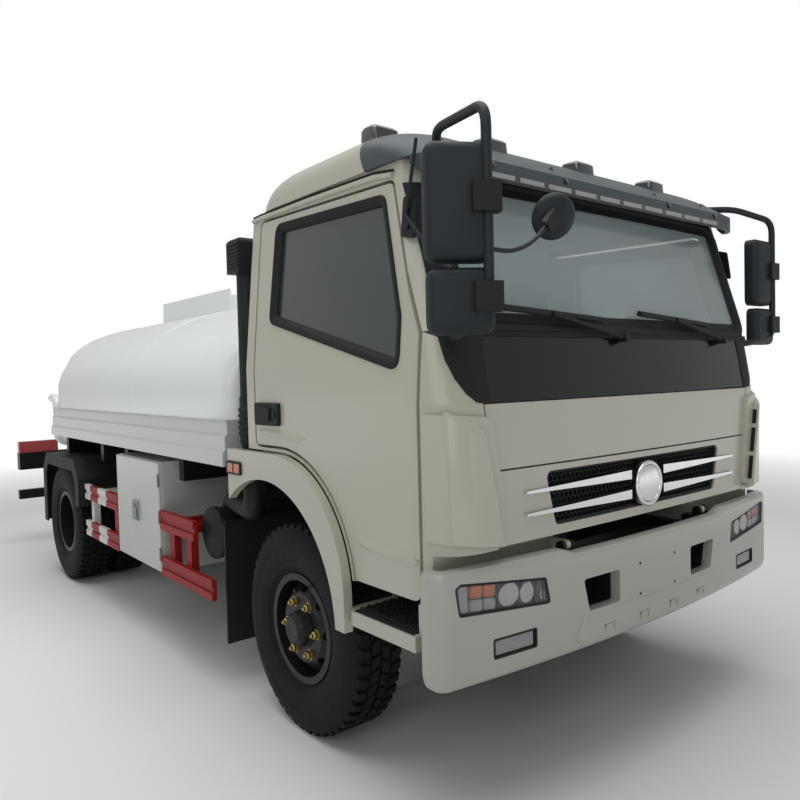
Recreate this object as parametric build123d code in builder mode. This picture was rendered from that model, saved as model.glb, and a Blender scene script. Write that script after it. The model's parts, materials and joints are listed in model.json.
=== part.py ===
from build123d import *
import math
import os

os.makedirs("parts", exist_ok=True)

# A light tank truck with its cab over the engine, in millimetres. +Z is up, the nose points to -Y and
# the truck's right-hand side is -X. "Forward" is the distance ahead of the front axle.

# Stance
TYRE_R = 428
TYRE_WIDTH = 235
WHEELBASE = 3190
FRONT_TYRE_X = 872
KINGPIN_X = 790
REAR_TYRE_X = 966
TWIN_PITCH = 285
MIRROR_REACH = 1225
TAIL_REACH = 4720
FRONT_AXLE_Y = (MIRROR_REACH - TAIL_REACH) / 2
REAR_AXLE = -WHEELBASE

# Fits and gaps
RUNNING = 0.1
TOUCH = 0.3
PANEL_GAP = 6
DOOR_GAP = 11
MOVING_GAP = 6

# Ladder frame
RAIL_X = 385
RAIL_WIDTH = 65
RAIL_HEIGHT = 190
RAIL_WALL = 8
RAIL_TOP = 800
FRAME_FRONT = 890
FRAME_REAR = -4600
RAIL_BOTTOM = RAIL_TOP - RAIL_HEIGHT
RAIL_OUT = RAIL_X + RAIL_WIDTH / 2
RAIL_IN = RAIL_X - RAIL_WIDTH / 2

# Cab body
CAB_HALF = 1035
CAB_TOP_HALF = 975
CAB_REAR = -270
CAB_BOTTOM = 740
CAB_TOP = 2150
CAB_NOSE = 983
COWL_BOTTOM = 1361
SCREEN_BASE = 1590
SCREEN_BASE_REACH = 945
SCREEN_TOP_REACH = 795
BELT_Z = 1500
NOSE_BOW = 24
NOSE_CORNER = 170
WALL = 60
ARCH_Z = 670
ARCH_R = 488
NOSE_CUT_REACH = 885
NOSE_CUT_Z = 893
BULKHEAD = 20
TUNNEL_HALF = 440
TUNNEL_TOP = 1060
TUNNEL_WALL = 30
TUNNEL_BACK = 240

# Tilting pivot of the cab
PIVOT_REACH = 955
PIVOT_Z = 848
PIVOT_PIN_R = 9
PIVOT_BOSS_R = 18
PIVOT_ARM_X = 455
PIVOT_ARM_WIDTH = 20

# Doors
DOOR_FRONT = 850
DOOR_REAR = -200
DOOR_BOTTOM = CAB_BOTTOM
DOOR_TOP = 2115
DOOR_HINGE_BACK = 12
HINGE_RELIEF = 7

# Front panels
PANEL_BOTTOM = 897
PANEL_SPLIT = 1144
PANEL_BOTTOM_HALF = 799
PANEL_TOP_HALF = 855
GRILLE_TOP = 1120
GRILLE_BOTTOM = 932
GRILLE_TOP_HALF = 577
GRILLE_BOTTOM_HALF = 529
GRILLE_DEPTH = 20
BADGE_R = 86
BADGE_Z = 1018

# Bumper
BUMPER_HALF = 1063
BUMPER_REACH = 1034
BUMPER_BOW = 72
BUMPER_CORNER = 62
BUMPER_END = 885
BUMPER_TOP = 857
BUMPER_BOTTOM = 524
BUMPER_WALL = 40
LIP_BOTTOM = 486
LIP_INSET = 26

# Tank and its bed
TANK_HALF = 935
TANK_RISE = 375
TANK_Z = 1555
TANK_FRONT = -500
TANK_REAR = -3950
BED_HALF = 1063
BED_BOTTOM = 1062
BED_TOP = 1272
BED_FRONT = -472
BED_REAR = -3540
BEARER_BOTTOM = 920

# Tool cabinet
CABINET_FRONT = -1285
CABINET_REAR = -1985
CABINET_BOTTOM = 415
CABINET_TOP = 1018
CABINET_OUT = 1040
CABINET_IN = 640
CABINET_WALL = 20
CABINET_DOOR = 23

# Wheels
RIM_R = 205
RIM_HALF = 95
SPINDLE_R = 25
REAR_SPINDLE_R = 36

# Manhole
MANHOLE_F = -2450
MANHOLE_R = 260
LID_R = 285
LID_THICK = 16

# Steering column
COLUMN_X = 520
STEER_HUB_F = 470
STEER_HUB_Z = 1560
STEER_LEAN = 37
STEER_RIM_R = 222


def point(x, forward, z):
    """Place in space from the lateral, forward and upward distances."""
    return Vector(x, FRONT_AXLE_Y - forward, z)


def side_at(x):
    """Sketch plane of the side view: forward across, up, drawn at x and extruded towards -X."""
    return Plane(origin=point(x, 0, 0), x_dir=(0, -1, 0), z_dir=(-1, 0, 0))


def front_at(forward):
    """Sketch plane of the front view: x across, up, drawn at a forward reach and extruded forward."""
    return Plane(origin=point(0, forward, 0), x_dir=(1, 0, 0), z_dir=(0, -1, 0))


def plan_at(z):
    """Sketch plane of the plan view: x across, forward up the page, drawn at height z."""
    return Plane(origin=point(0, 0, z), x_dir=(1, 0, 0), z_dir=(0, 0, -1))


def block(x_ends, forward_ends, z_ends, mode=Mode.ADD):
    """Plain block between two ends along each axis."""
    middle = [sum(ends) / 2 for ends in (x_ends, forward_ends, z_ends)]
    with Locations(point(*middle)):
        Box(
            abs(x_ends[1] - x_ends[0]),
            abs(forward_ends[1] - forward_ends[0]),
            abs(z_ends[1] - z_ends[0]),
            mode=mode,
        )


def round_bar(start, end, radius):
    """Straight round bar between two places."""
    with BuildPart() as bar:
        with BuildSketch(Plane(origin=start, z_dir=end - start)):
            Circle(radius)
        extrude(amount=(end - start).length)
    return bar.part


def bent_tube(places, bend, radius):
    """Round tube along straight runs joined by bends."""
    with BuildPart() as tube:
        with BuildLine() as run:
            FilletPolyline(*places, radius=bend)
        with BuildSketch(Plane(origin=run.line @ 0, z_dir=run.line % 0)):
            Circle(radius)
        sweep()
    return tube.part


def side_prism(corners, x_ends, round_off=0):
    """Outline of the side view, with its corners rounded, carried across from one x to a lower one."""
    with BuildPart() as prism:
        with BuildSketch(side_at(x_ends[0])):
            with BuildLine():
                FilletPolyline(*corners, radius=round_off, close=True)
            make_face()
        extrude(amount=x_ends[0] - x_ends[1])
    return prism.part


def front_prism(corners, forward_ends, round_off=0):
    """Outline of the front view, with its corners rounded, carried along from one reach to a longer one."""
    with BuildPart() as prism:
        with BuildSketch(front_at(forward_ends[0])):
            with BuildLine():
                FilletPolyline(*corners, radius=round_off, close=True)
            make_face()
        extrude(amount=forward_ends[1] - forward_ends[0])
    return prism.part


def save(part, name):
    """One named piece, one file."""
    part.label = name
    export_step(part, "parts/" + name + ".step")


# Ladder frame: two channels, open towards the middle

with BuildPart() as frame_rails:
    with BuildSketch(front_at(FRAME_REAR)):
        with Locations((-RAIL_X, RAIL_TOP - RAIL_HEIGHT / 2)):
            Rectangle(RAIL_WIDTH, RAIL_HEIGHT)
        with Locations((-RAIL_X + RAIL_WALL, RAIL_TOP - RAIL_HEIGHT / 2)):
            Rectangle(RAIL_WIDTH, RAIL_HEIGHT - 2 * RAIL_WALL, mode=Mode.SUBTRACT)
    extrude(amount=FRAME_FRONT - FRAME_REAR)
    mirror(about=Plane.YZ)
save(frame_rails.part, "frame_rails")

CROSSMEMBER_HALF = RAIL_OUT - RAIL_WALL
CROSSMEMBERS = (  # forward place, depth
    (820, 90),
    (-1180, 70),
    (-1900, 70),
    (-2500, 70),
    (-3850, 70),
    (-4500, 70),
)
with BuildPart() as crossmembers:
    for forward, depth in CROSSMEMBERS:
        block(
            (-CROSSMEMBER_HALF, CROSSMEMBER_HALF),
            (forward - depth / 2, forward + depth / 2),
            (RAIL_BOTTOM + 2 * RAIL_WALL, RAIL_TOP - 2 * RAIL_WALL),
        )
save(crossmembers.part, "crossmembers")

# Pivot brackets of the cab, a fork on each rail's outer side with a pin through it
FORK_INNER = PIVOT_ARM_X - PIVOT_ARM_WIDTH / 2 - MOVING_GAP
FORK_OUTER = PIVOT_ARM_X + PIVOT_ARM_WIDTH / 2 + MOVING_GAP
FORK_CHEEK = 14
FORK_BASE_TOP = PIVOT_Z - PIVOT_BOSS_R - MOVING_GAP
FORK_BACK = NOSE_CUT_REACH + MOVING_GAP
FORK_BASE_BOTTOM = RAIL_BOTTOM + 40
with BuildPart() as cab_pivots:
    block((-FORK_OUTER - FORK_CHEEK, -RAIL_OUT), (FORK_BACK, PIVOT_REACH), (FORK_BASE_BOTTOM, FORK_BASE_TOP))
    block(
        (-RAIL_OUT - FORK_CHEEK, -RAIL_OUT),
        (FORK_BACK - 120, FORK_BACK),
        (FORK_BASE_BOTTOM, CAB_BOTTOM - 30),
    )
    for cheek_out in (FORK_OUTER + FORK_CHEEK, FORK_INNER):
        with BuildSketch(side_at(-cheek_out + FORK_CHEEK)):
            with Locations((PIVOT_REACH, PIVOT_Z)):
                Circle(PIVOT_BOSS_R)
            with Locations((PIVOT_REACH, (PIVOT_Z + FORK_BASE_TOP) / 2)):
                Rectangle(2 * PIVOT_BOSS_R, PIVOT_Z - FORK_BASE_TOP)
        extrude(amount=FORK_CHEEK)
    block(
        (-FORK_OUTER - FORK_CHEEK, -FORK_INNER + FORK_CHEEK),
        (PIVOT_REACH, PIVOT_REACH + PIVOT_BOSS_R),
        (FORK_BASE_BOTTOM, FORK_BASE_TOP),
    )
    with BuildSketch(side_at(-FORK_INNER)):
        with Locations((PIVOT_REACH, PIVOT_Z)):
            Circle(PIVOT_PIN_R)
    extrude(amount=FORK_OUTER - FORK_INNER)
    mirror(about=Plane.YZ)
save(cab_pivots.part, "cab_pivots")

# Front axle: a dropped beam with an upright eye for the kingpin at each end
BEAM_DEPTH = 90
BEAM_LOW = 330
BEAM_HEIGHT = 76
KINGPIN_R = 18
EYE_R = 38
EYE_HEIGHT = 100
SPRING_X = RAIL_X
SPRING_WIDTH = 70
FRONT_PAD_TOP = 430
with BuildPart() as front_axle:
    with BuildSketch(front_at(-BEAM_DEPTH / 2)):
        with BuildLine():
            Polyline(
                (-KINGPIN_X, TYRE_R + BEAM_HEIGHT / 2),
                (-KINGPIN_X + 130, TYRE_R + BEAM_HEIGHT / 2),
                (-KINGPIN_X + 250, BEAM_LOW + BEAM_HEIGHT / 2),
                (KINGPIN_X - 250, BEAM_LOW + BEAM_HEIGHT / 2),
                (KINGPIN_X - 130, TYRE_R + BEAM_HEIGHT / 2),
                (KINGPIN_X, TYRE_R + BEAM_HEIGHT / 2),
                (KINGPIN_X, TYRE_R - BEAM_HEIGHT / 2),
                (KINGPIN_X - 110, TYRE_R - BEAM_HEIGHT / 2),
                (KINGPIN_X - 230, BEAM_LOW - BEAM_HEIGHT / 2),
                (-KINGPIN_X + 230, BEAM_LOW - BEAM_HEIGHT / 2),
                (-KINGPIN_X + 110, TYRE_R - BEAM_HEIGHT / 2),
                (-KINGPIN_X, TYRE_R - BEAM_HEIGHT / 2),
                close=True,
            )
        make_face()
    extrude(amount=BEAM_DEPTH)
    for sign in (-1, 1):
        block(
            (sign * (KINGPIN_X - EYE_R), sign * (KINGPIN_X + BEAM_DEPTH)),
            (-BEAM_DEPTH, BEAM_DEPTH),
            (TYRE_R - EYE_HEIGHT, TYRE_R + EYE_HEIGHT),
            mode=Mode.SUBTRACT,
        )
        with Locations(point(sign * KINGPIN_X, 0, TYRE_R)):
            Cylinder(EYE_R, EYE_HEIGHT)
            Cylinder(KINGPIN_R + RUNNING, 2 * EYE_HEIGHT, mode=Mode.SUBTRACT)
        block(
            (sign * (SPRING_X - SPRING_WIDTH / 2), sign * (SPRING_X + SPRING_WIDTH / 2)),
            (-BEAM_DEPTH / 2, BEAM_DEPTH / 2),
            (BEAM_LOW, FRONT_PAD_TOP),
        )
save(front_axle.part, "front_axle")

# Rear axle: tube with a round differential housing and a nose towards the propeller shaft
AXLE_TUBE_R = 58
DIFF_R = 165
REAR_TUBE_END = REAR_TYRE_X - TWIN_PITCH / 2 - 70
SPINDLE_END = REAR_TYRE_X - 40
REAR_PAD_TOP = TYRE_R + AXLE_TUBE_R + 14
PINION_REACH = 260
with BuildPart() as rear_axle:
    with Locations(Location(point(0, REAR_AXLE, TYRE_R), (0, 90, 0))):
        Cylinder(AXLE_TUBE_R, 2 * REAR_TUBE_END)
        Cylinder(REAR_SPINDLE_R, 2 * SPINDLE_END)
    with Locations(Location(point(0, REAR_AXLE, TYRE_R), (90, 0, 0))):
        Cylinder(DIFF_R, 170)
    with Locations(Location(point(0, REAR_AXLE + PINION_REACH / 2, TYRE_R), (90, 0, 0))):
        Cone(DIFF_R * 0.75, AXLE_TUBE_R, PINION_REACH)
    for sign in (-1, 1):
        block(
            (sign * (SPRING_X - SPRING_WIDTH / 2), sign * (SPRING_X + SPRING_WIDTH / 2)),
            (REAR_AXLE - 60, REAR_AXLE + 60),
            (TYRE_R, REAR_PAD_TOP),
        )
save(rear_axle.part, "rear_axle")

# Leaf springs: an arched main pack, a shorter helper pack under it and a hanger at each end
SPRING_THICK = 34
SPRINGS = (  # axle place, pad top, half length, helper half length
    (0, FRONT_PAD_TOP, 600, 300),
    (REAR_AXLE, REAR_PAD_TOP, 620, 360),
)
packs = []
for axle, pad, half, helper in SPRINGS:
    end_top = RAIL_BOTTOM - 14
    with BuildPart() as pack:
        with BuildSketch(side_at(-SPRING_X + SPRING_WIDTH / 2)):
            with BuildLine():
                ThreePointArc(
                    (axle - half, end_top),
                    (axle, pad + 2 * SPRING_THICK),
                    (axle + half, end_top),
                )
                Line((axle + half, end_top), (axle + half, end_top - SPRING_THICK))
                ThreePointArc(
                    (axle + half, end_top - SPRING_THICK),
                    (axle, pad + SPRING_THICK),
                    (axle - half, end_top - SPRING_THICK),
                )
                Line((axle - half, end_top - SPRING_THICK), (axle - half, end_top))
            make_face()
            with BuildLine():
                Polyline(
                    (axle - helper, pad + 1.7 * SPRING_THICK),
                    (axle - 70, pad),
                    (axle + 70, pad),
                    (axle + helper, pad + 1.7 * SPRING_THICK),
                    close=True,
                )
            make_face()
        extrude(amount=SPRING_WIDTH)
        for end in (axle - half + 30, axle + half - 30):
            block(
                (-SPRING_X - RAIL_WIDTH / 2 + 5, -SPRING_X + RAIL_WIDTH / 2 - 5),
                (end - 30, end + 30),
                (end_top - SPRING_THICK, RAIL_BOTTOM),
            )
    packs.append(pack.part)
with BuildPart() as leaf_springs:
    for pack in packs:
        add(pack)
    mirror(about=Plane.YZ)
save(leaf_springs.part, "leaf_springs")

# Engine and gearbox as one plain lump between the rails, with a foot on each rail
ENGINE_HALF = 230
GEARBOX_TAIL = -760
with BuildPart() as engine:
    block((-ENGINE_HALF, ENGINE_HALF), (-260, 420), (RAIL_BOTTOM - 60, TUNNEL_TOP - 20))
    block((-150, 150), (GEARBOX_TAIL, -260), (RAIL_BOTTOM - 30, RAIL_TOP + 40))
    block((-CROSSMEMBER_HALF, CROSSMEMBER_HALF), (80, 180), (RAIL_BOTTOM + 50, RAIL_TOP - 50))
    fillet(engine.edges().filter_by(Axis.Y).group_by(Axis.Z)[-1], 40)
save(engine.part, "engine")

propeller = round_bar(
    point(0, GEARBOX_TAIL, RAIL_BOTTOM + 8),
    point(0, REAR_AXLE + PINION_REACH, TYRE_R),
    38,
)
with BuildPart() as propshaft:
    add(propeller)
    block((-200, 200), (-3000, REAR_AXLE + PINION_REACH), (0, 1000), mode=Mode.SUBTRACT)
    block((-200, 200), (GEARBOX_TAIL, 0), (0, 1000), mode=Mode.SUBTRACT)
save(propshaft.part, "propshaft")

# Fuel tank on the left-hand side, strapped to two brackets
with BuildPart() as fuel_tank:
    block((RAIL_OUT + 40, 1000), (-1360, -760), (430, 850))
    fillet(fuel_tank.edges().filter_by(Axis.Y), 70)
    for forward in (-1240, -880):
        block((RAIL_OUT, RAIL_OUT + 110), (forward - 30, forward + 30), (RAIL_BOTTOM + 30, RAIL_TOP - 30))
        with BuildSketch(front_at(forward - 25)):
            with Locations(((RAIL_OUT + 1040) / 2, 640)):
                RectangleRounded(1000 - RAIL_OUT - 40 + 12, 432, 76)
        extrude(amount=50)
save(fuel_tank.part, "fuel_tank")

# Air cleaner: a can lying across the truck, with its intake stack behind the cab
CLEANER_F = -775
CLEANER_Z = 705
CLEANER_R = 120
STACK_X = -955
STACK_F = -390
STACK_TOP = 2077
DUCT_Z = 858
stack = bent_tube(
    [
        point(STACK_X, STACK_F, STACK_TOP - 100),
        point(STACK_X, STACK_F, DUCT_Z),
        point(STACK_X + 70, CLEANER_F, DUCT_Z),
        point(STACK_X + 70, CLEANER_F, CLEANER_Z),
    ],
    70,
    48,
)
with BuildPart() as air_cleaner:
    with BuildSketch(side_at(-520)):
        with Locations((CLEANER_F, CLEANER_Z)):
            Circle(CLEANER_R)
    extrude(amount=460)
    with BuildSketch(side_at(-962)):
        with Locations((CLEANER_F, CLEANER_Z)):
            Circle(CLEANER_R + 8)
    extrude(amount=24)
    block((-530, -RAIL_OUT), (CLEANER_F - 50, CLEANER_F + 50), (CLEANER_Z - 60, CLEANER_Z + 60))
    add(stack)
    block((STACK_X - 70, STACK_X + 70), (STACK_F - 58, STACK_F + 58), (STACK_TOP - 155, STACK_TOP))
    fillet(air_cleaner.edges().group_by(Axis.Z)[-1], 26)
save(air_cleaner.part, "air_cleaner")

# Splash guards behind the front wheels
FLAP_F = -612
with BuildPart() as splash_guards:
    block((-1000, -560), (FLAP_F - 12, FLAP_F), (200, 785))
    block((-570, -RAIL_OUT), (FLAP_F - 30, FLAP_F), (700, 760))
    mirror(about=Plane.YZ)
save(splash_guards.part, "splash_guards")


# Bumper: a bowed wall that wraps round the corners, with a set-back lip below it
def bowed_plan(half, reach, bow, corner, rear):
    """Plan outline with a bowed nose, rounded front corners and a straight rear edge."""
    with BuildSketch(plan_at(0), mode=Mode.PRIVATE) as plan:
        with BuildLine():
            ThreePointArc((-half, reach - bow), (0, reach), (half, reach - bow))
            Polyline((half, reach - bow), (half, rear), (-half, rear), (-half, reach - bow))
        make_face()
        nose = plan.vertices().group_by(Axis.Y)[-1]
        fillet(nose, corner)
    return plan.sketch


BUMPER_STAGES = (  # bottom, top, inset
    (BUMPER_BOTTOM, BUMPER_TOP, 0),
    (LIP_BOTTOM, BUMPER_BOTTOM, LIP_INSET),
)
with BuildPart() as bumper_wall:
    for low, high, inset in BUMPER_STAGES:
        outer = bowed_plan(
            BUMPER_HALF - inset,
            BUMPER_REACH - inset,
            BUMPER_BOW,
            BUMPER_CORNER - inset,
            BUMPER_END,
        )
        extrude(outer.moved(Location((0, 0, low))), amount=high - low, dir=(0, 0, 1))
        inner = bowed_plan(
            BUMPER_HALF - BUMPER_WALL - inset,
            BUMPER_REACH - BUMPER_WALL - inset,
            BUMPER_BOW,
            BUMPER_CORNER / 2,
            BUMPER_END - 100,
        )
        extrude(
            inner.moved(Location((0, 0, low))),
            amount=high - low,
            dir=(0, 0, 1),
            mode=Mode.SUBTRACT,
        )

HEADLAMP = ((620, 690), (990, 680), (1000, 775), (975, 788), (628, 740))
FOG_LAMP = ((669, 556), (856, 556), (856, 622), (669, 622))
TOW_OPENING = ((252, 620), (412, 620), (444, 736), (252, 736))


def bumper_prism(outline, round_off, shrink):
    """Front-view outline on both sides of the bumper, as a cutter or, shrunk, as what fills it."""
    with BuildPart() as prism:
        with BuildSketch(front_at(BUMPER_END - 40)):
            with BuildLine():
                FilletPolyline(*outline, radius=round_off, close=True)
            make_face()
            if shrink:
                offset(amount=-shrink, kind=Kind.INTERSECTION, mode=Mode.REPLACE)
        extrude(amount=BUMPER_REACH - BUMPER_END + 80)
        mirror(about=Plane.YZ)
    return prism.part


headlamp_cut = bumper_prism(HEADLAMP, 12, 0)
fog_cut = bumper_prism(FOG_LAMP, 10, 0)
tow_cut = bumper_prism(TOW_OPENING, 12, 0)
headlamp_fill = bumper_prism(HEADLAMP, 12, TOUCH)
fog_fill = bumper_prism(FOG_LAMP, 10, TOUCH)
BUMPER_ARM_HALF = 25
with BuildPart() as bumper:
    add(bumper_wall.part)
    add(headlamp_cut, mode=Mode.SUBTRACT)
    add(fog_cut, mode=Mode.SUBTRACT)
    add(tow_cut, mode=Mode.SUBTRACT)
    for sign in (-1, 1):
        block(
            (sign * (RAIL_X - BUMPER_ARM_HALF), sign * (RAIL_X + BUMPER_ARM_HALF)),
            (FRAME_FRONT, BUMPER_REACH - BUMPER_WALL),
            (750, 790),
        )
save(bumper.part, "bumper")

with BuildPart() as front_lamps:
    add(bumper_wall.part)
    add(headlamp_fill + fog_fill, mode=Mode.INTERSECT)
save(front_lamps.part, "front_lamps")

# Tank: an elliptical barrel with a domed end at the front and a deeper one at the rear
FRONT_DOME = 110
REAR_DOME = 420
DOME_RINGS = (  # share of the dome's depth, share of the section
    (0, 1),
    (0.5, 0.866),
    (0.8, 0.6),
    (0.97, 0.243),
)


def tank_ring(forward, share, grow):
    """Elliptical section of the tank at one place along it."""
    with BuildSketch(front_at(forward), mode=Mode.PRIVATE) as ring:
        with Locations((0, TANK_Z)):
            Ellipse(TANK_HALF * share + grow, TANK_RISE * share + grow)
    return ring.sketch


def tank_barrel(rear, front, grow):
    """Straight elliptical length of the tank, larger by a clearance when it is used as a cutter."""
    with BuildPart() as barrel:
        extrude(tank_ring(rear, 1, grow), amount=front - rear)
    return barrel.part


barrel = tank_barrel(TANK_REAR + REAR_DOME, TANK_FRONT - FRONT_DOME, 0)
rear_rings = [tank_ring(TANK_REAR + REAR_DOME * (1 - depth), share, 0) for depth, share in DOME_RINGS]
front_rings = [tank_ring(TANK_FRONT - FRONT_DOME * (1 - depth), share, 0) for depth, share in DOME_RINGS]
NECK_TOP = TANK_Z + TANK_RISE + 70
NECK_WALL = 14
with BuildPart() as tank:
    add(barrel)
    loft(rear_rings)
    loft(front_rings)
    with Locations(point(0, MANHOLE_F, NECK_TOP - 100)):
        Cylinder(MANHOLE_R, 200)
    with Locations(point(0, MANHOLE_F, NECK_TOP - 25)):
        Cylinder(MANHOLE_R - NECK_WALL, 50, mode=Mode.SUBTRACT)
save(tank.part, "tank")

SKIRT = 70

# Guard round the manhole: two long plates with raked ends, tied by a plate at each end
GUARD_X = 330
GUARD_PLATE = 12
GUARD_TOP = 2055
GUARD_FRONT = -1800
GUARD_REAR = -3100
GUARD_RAKE = 70
guard_blank = side_prism(
    [
        (GUARD_REAR, TANK_Z),
        (GUARD_REAR + GUARD_RAKE, GUARD_TOP),
        (GUARD_FRONT - GUARD_RAKE, GUARD_TOP),
        (GUARD_FRONT, TANK_Z),
    ],
    (GUARD_X, -GUARD_X),
)
tank_clearance = tank_barrel(TANK_REAR, BED_FRONT + SKIRT, TOUCH)
with BuildPart() as manhole_guard:
    add(guard_blank)
    block(
        (-GUARD_X + GUARD_PLATE, GUARD_X - GUARD_PLATE),
        (GUARD_REAR + GUARD_RAKE + GUARD_PLATE, GUARD_FRONT - GUARD_RAKE - GUARD_PLATE),
        (0, GUARD_TOP),
        mode=Mode.SUBTRACT,
    )
    block(
        (-GUARD_X + GUARD_PLATE, GUARD_X - GUARD_PLATE),
        (GUARD_REAR, GUARD_FRONT),
        (GUARD_TOP - 40, GUARD_TOP),
        mode=Mode.SUBTRACT,
    )
    add(tank_clearance, mode=Mode.SUBTRACT)
save(manhole_guard.part, "manhole_guard")

LID_HINGE_F = MANHOLE_F - LID_R - 22
with BuildPart() as manhole_lid:
    with Locations(point(0, MANHOLE_F, NECK_TOP + LID_THICK / 2)):
        Cylinder(LID_R, LID_THICK)
    with Locations(point(0, MANHOLE_F, NECK_TOP + LID_THICK + 12)):
        Cylinder(LID_R * 0.72, 24)
    with Locations(point(0, MANHOLE_F + LID_R - 30, NECK_TOP + LID_THICK + 12)):
        Box(150, 26, 24)
    block((-60, 60), (LID_HINGE_F - 12, MANHOLE_F - LID_R + 20), (NECK_TOP, NECK_TOP + LID_THICK))
save(manhole_lid.part, "manhole_lid")

# Subframe on the rails, with bearers across it under the bed
BEARERS = (-560, -1180, -2060, -2560, -3440)
with BuildPart() as subframe:
    for sign in (-1, 1):
        block((sign * RAIL_IN, sign * RAIL_OUT), (BED_REAR, BED_FRONT), (RAIL_TOP, BEARER_BOTTOM))
    for forward in BEARERS:
        block((-BED_HALF + 90, BED_HALF - 90), (forward - 30, forward + 30), (BEARER_BOTTOM, BED_BOTTOM))
save(subframe.part, "subframe")

# Bed: stepped side beams, end plates, a deck and saddles, cut to the tank's belly
BEAM_STEP = 12
SADDLES = (-760, -1500, -2240, -2980)
skirt_outline = [
    (-BED_HALF + SKIRT, BED_BOTTOM),
    (-BED_HALF, BED_BOTTOM),
    (-BED_HALF, BED_BOTTOM + 62),
    (-BED_HALF + BEAM_STEP, BED_BOTTOM + 74),
    (-BED_HALF + BEAM_STEP, BED_TOP - 76),
    (-BED_HALF + 2 * BEAM_STEP, BED_TOP - 64),
    (-BED_HALF + 2 * BEAM_STEP, BED_TOP - 14),
    (-BED_HALF + BEAM_STEP, BED_TOP),
    (-BED_HALF + SKIRT, BED_TOP),
]
skirt_beam = front_prism(skirt_outline, (BED_REAR, BED_FRONT))
with BuildPart() as tank_bed:
    add(skirt_beam)
    mirror(about=Plane.YZ)
    for forward in (BED_REAR + 8, BED_FRONT - 8):
        block((-BED_HALF + SKIRT, BED_HALF - SKIRT), (forward - 8, forward + 8), (BED_BOTTOM, BED_TOP))
    block((-BED_HALF + SKIRT, BED_HALF - SKIRT), (BED_REAR, BED_FRONT), (BED_TOP - 12, BED_TOP))
    block((-BED_HALF + SKIRT, BED_HALF - SKIRT), (BED_REAR, BED_FRONT), (BED_BOTTOM, BED_BOTTOM + 12))
    for forward in SADDLES:
        block((-BED_HALF + SKIRT, BED_HALF - SKIRT), (forward - 10, forward + 10), (BED_BOTTOM, BED_TOP + 60))
    add(tank_clearance, mode=Mode.SUBTRACT)
save(tank_bed.part, "tank_bed")

# Tool cabinet on the right, an open box hung from the rail, with a full-face door
with BuildPart() as tool_cabinet:
    block((-CABINET_OUT, -CABINET_IN), (CABINET_REAR, CABINET_FRONT), (CABINET_BOTTOM, CABINET_TOP))
    block(
        (-CABINET_OUT, -CABINET_IN - CABINET_WALL),
        (CABINET_REAR + CABINET_WALL, CABINET_FRONT - CABINET_WALL),
        (CABINET_BOTTOM + CABINET_WALL, CABINET_TOP - CABINET_WALL),
        mode=Mode.SUBTRACT,
    )
    for forward in (CABINET_REAR + 120, CABINET_FRONT - 120):
        block((-CABINET_IN, -RAIL_OUT), (forward - 30, forward + 30), (RAIL_BOTTOM + 40, RAIL_TOP - 40))
save(tool_cabinet.part, "tool_cabinet")

with BuildPart() as cabinet_door:
    block(
        (-CABINET_OUT - CABINET_DOOR, -CABINET_OUT - TOUCH),
        (CABINET_REAR + 4, CABINET_FRONT - 4),
        (CABINET_BOTTOM + 4, CABINET_TOP - 4),
    )
    fillet(cabinet_door.faces().sort_by(Axis.X)[0].edges(), 8)
    LATCH_F = (CABINET_FRONT + CABINET_REAR) / 2
    LATCH_Z = (CABINET_TOP + CABINET_BOTTOM) / 2
    block(
        (-CABINET_OUT - CABINET_DOOR - 9, -CABINET_OUT - CABINET_DOOR),
        (LATCH_F - 45, LATCH_F + 45),
        (LATCH_Z - 55, LATCH_Z + 55),
    )
save(cabinet_door.part, "cabinet_door")

# Side guards: two grooved rails on posts, carried by arms from the frame rails
GUARD_OUT = 1063
GUARD_THICK = 26
GUARD_RAIL_HEIGHT = 100
UPPER_RAIL_Z = 660
LOWER_RAIL_Z = 411
GUARD_POST = 60
MUD_FRONT = REAR_AXLE + 490
GUARD_END = MUD_FRONT + 18
GUARDS = (  # side, rear end, front of the upper rail, front of the lower rail, arm places
    (-1, GUARD_END, CABINET_REAR - 6, CABINET_REAR - 6, (-2100, -2600)),
    (-1, CABINET_FRONT + 6, -840, -640, (-1180, -960)),
    (1, GUARD_END, -1420, -1420, (-1560, -2600)),
)
groove = 8
with BuildPart() as side_guards:
    for side, rear, upper_front, lower_front, arms in GUARDS:
        for low, front in ((UPPER_RAIL_Z, upper_front), (LOWER_RAIL_Z, lower_front)):
            block(
                (side * GUARD_OUT, side * (GUARD_OUT - GUARD_THICK)),
                (rear, front),
                (low, low + GUARD_RAIL_HEIGHT),
            )
            block(
                (side * GUARD_OUT, side * (GUARD_OUT - groove)),
                (rear, front),
                (low + GUARD_RAIL_HEIGHT * 0.36, low + GUARD_RAIL_HEIGHT * 0.64),
                mode=Mode.SUBTRACT,
            )
        for arm in arms:
            block(
                (side * (GUARD_OUT - GUARD_THICK - 40), side * (GUARD_OUT - GUARD_THICK)),
                (arm - GUARD_POST / 2, arm + GUARD_POST / 2),
                (LOWER_RAIL_Z + 20, UPPER_RAIL_Z + GUARD_RAIL_HEIGHT - 20),
            )
            block(
                (side * (GUARD_OUT - GUARD_THICK), side * RAIL_OUT),
                (arm - 20, arm + 20),
                (UPPER_RAIL_Z + 20, UPPER_RAIL_Z + 60),
            )
save(side_guards.part, "side_guards")

# Rear mudguards: angular covers over the twin tyres, with a lip down the outer side
MUD_OUT = 1102
MUD_IN = 560
MUD_TOP = BEARER_BOTTOM
MUD_THICK = 10
MUD_REAR = REAR_AXLE - 490
MUD_LIP = 84


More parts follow.
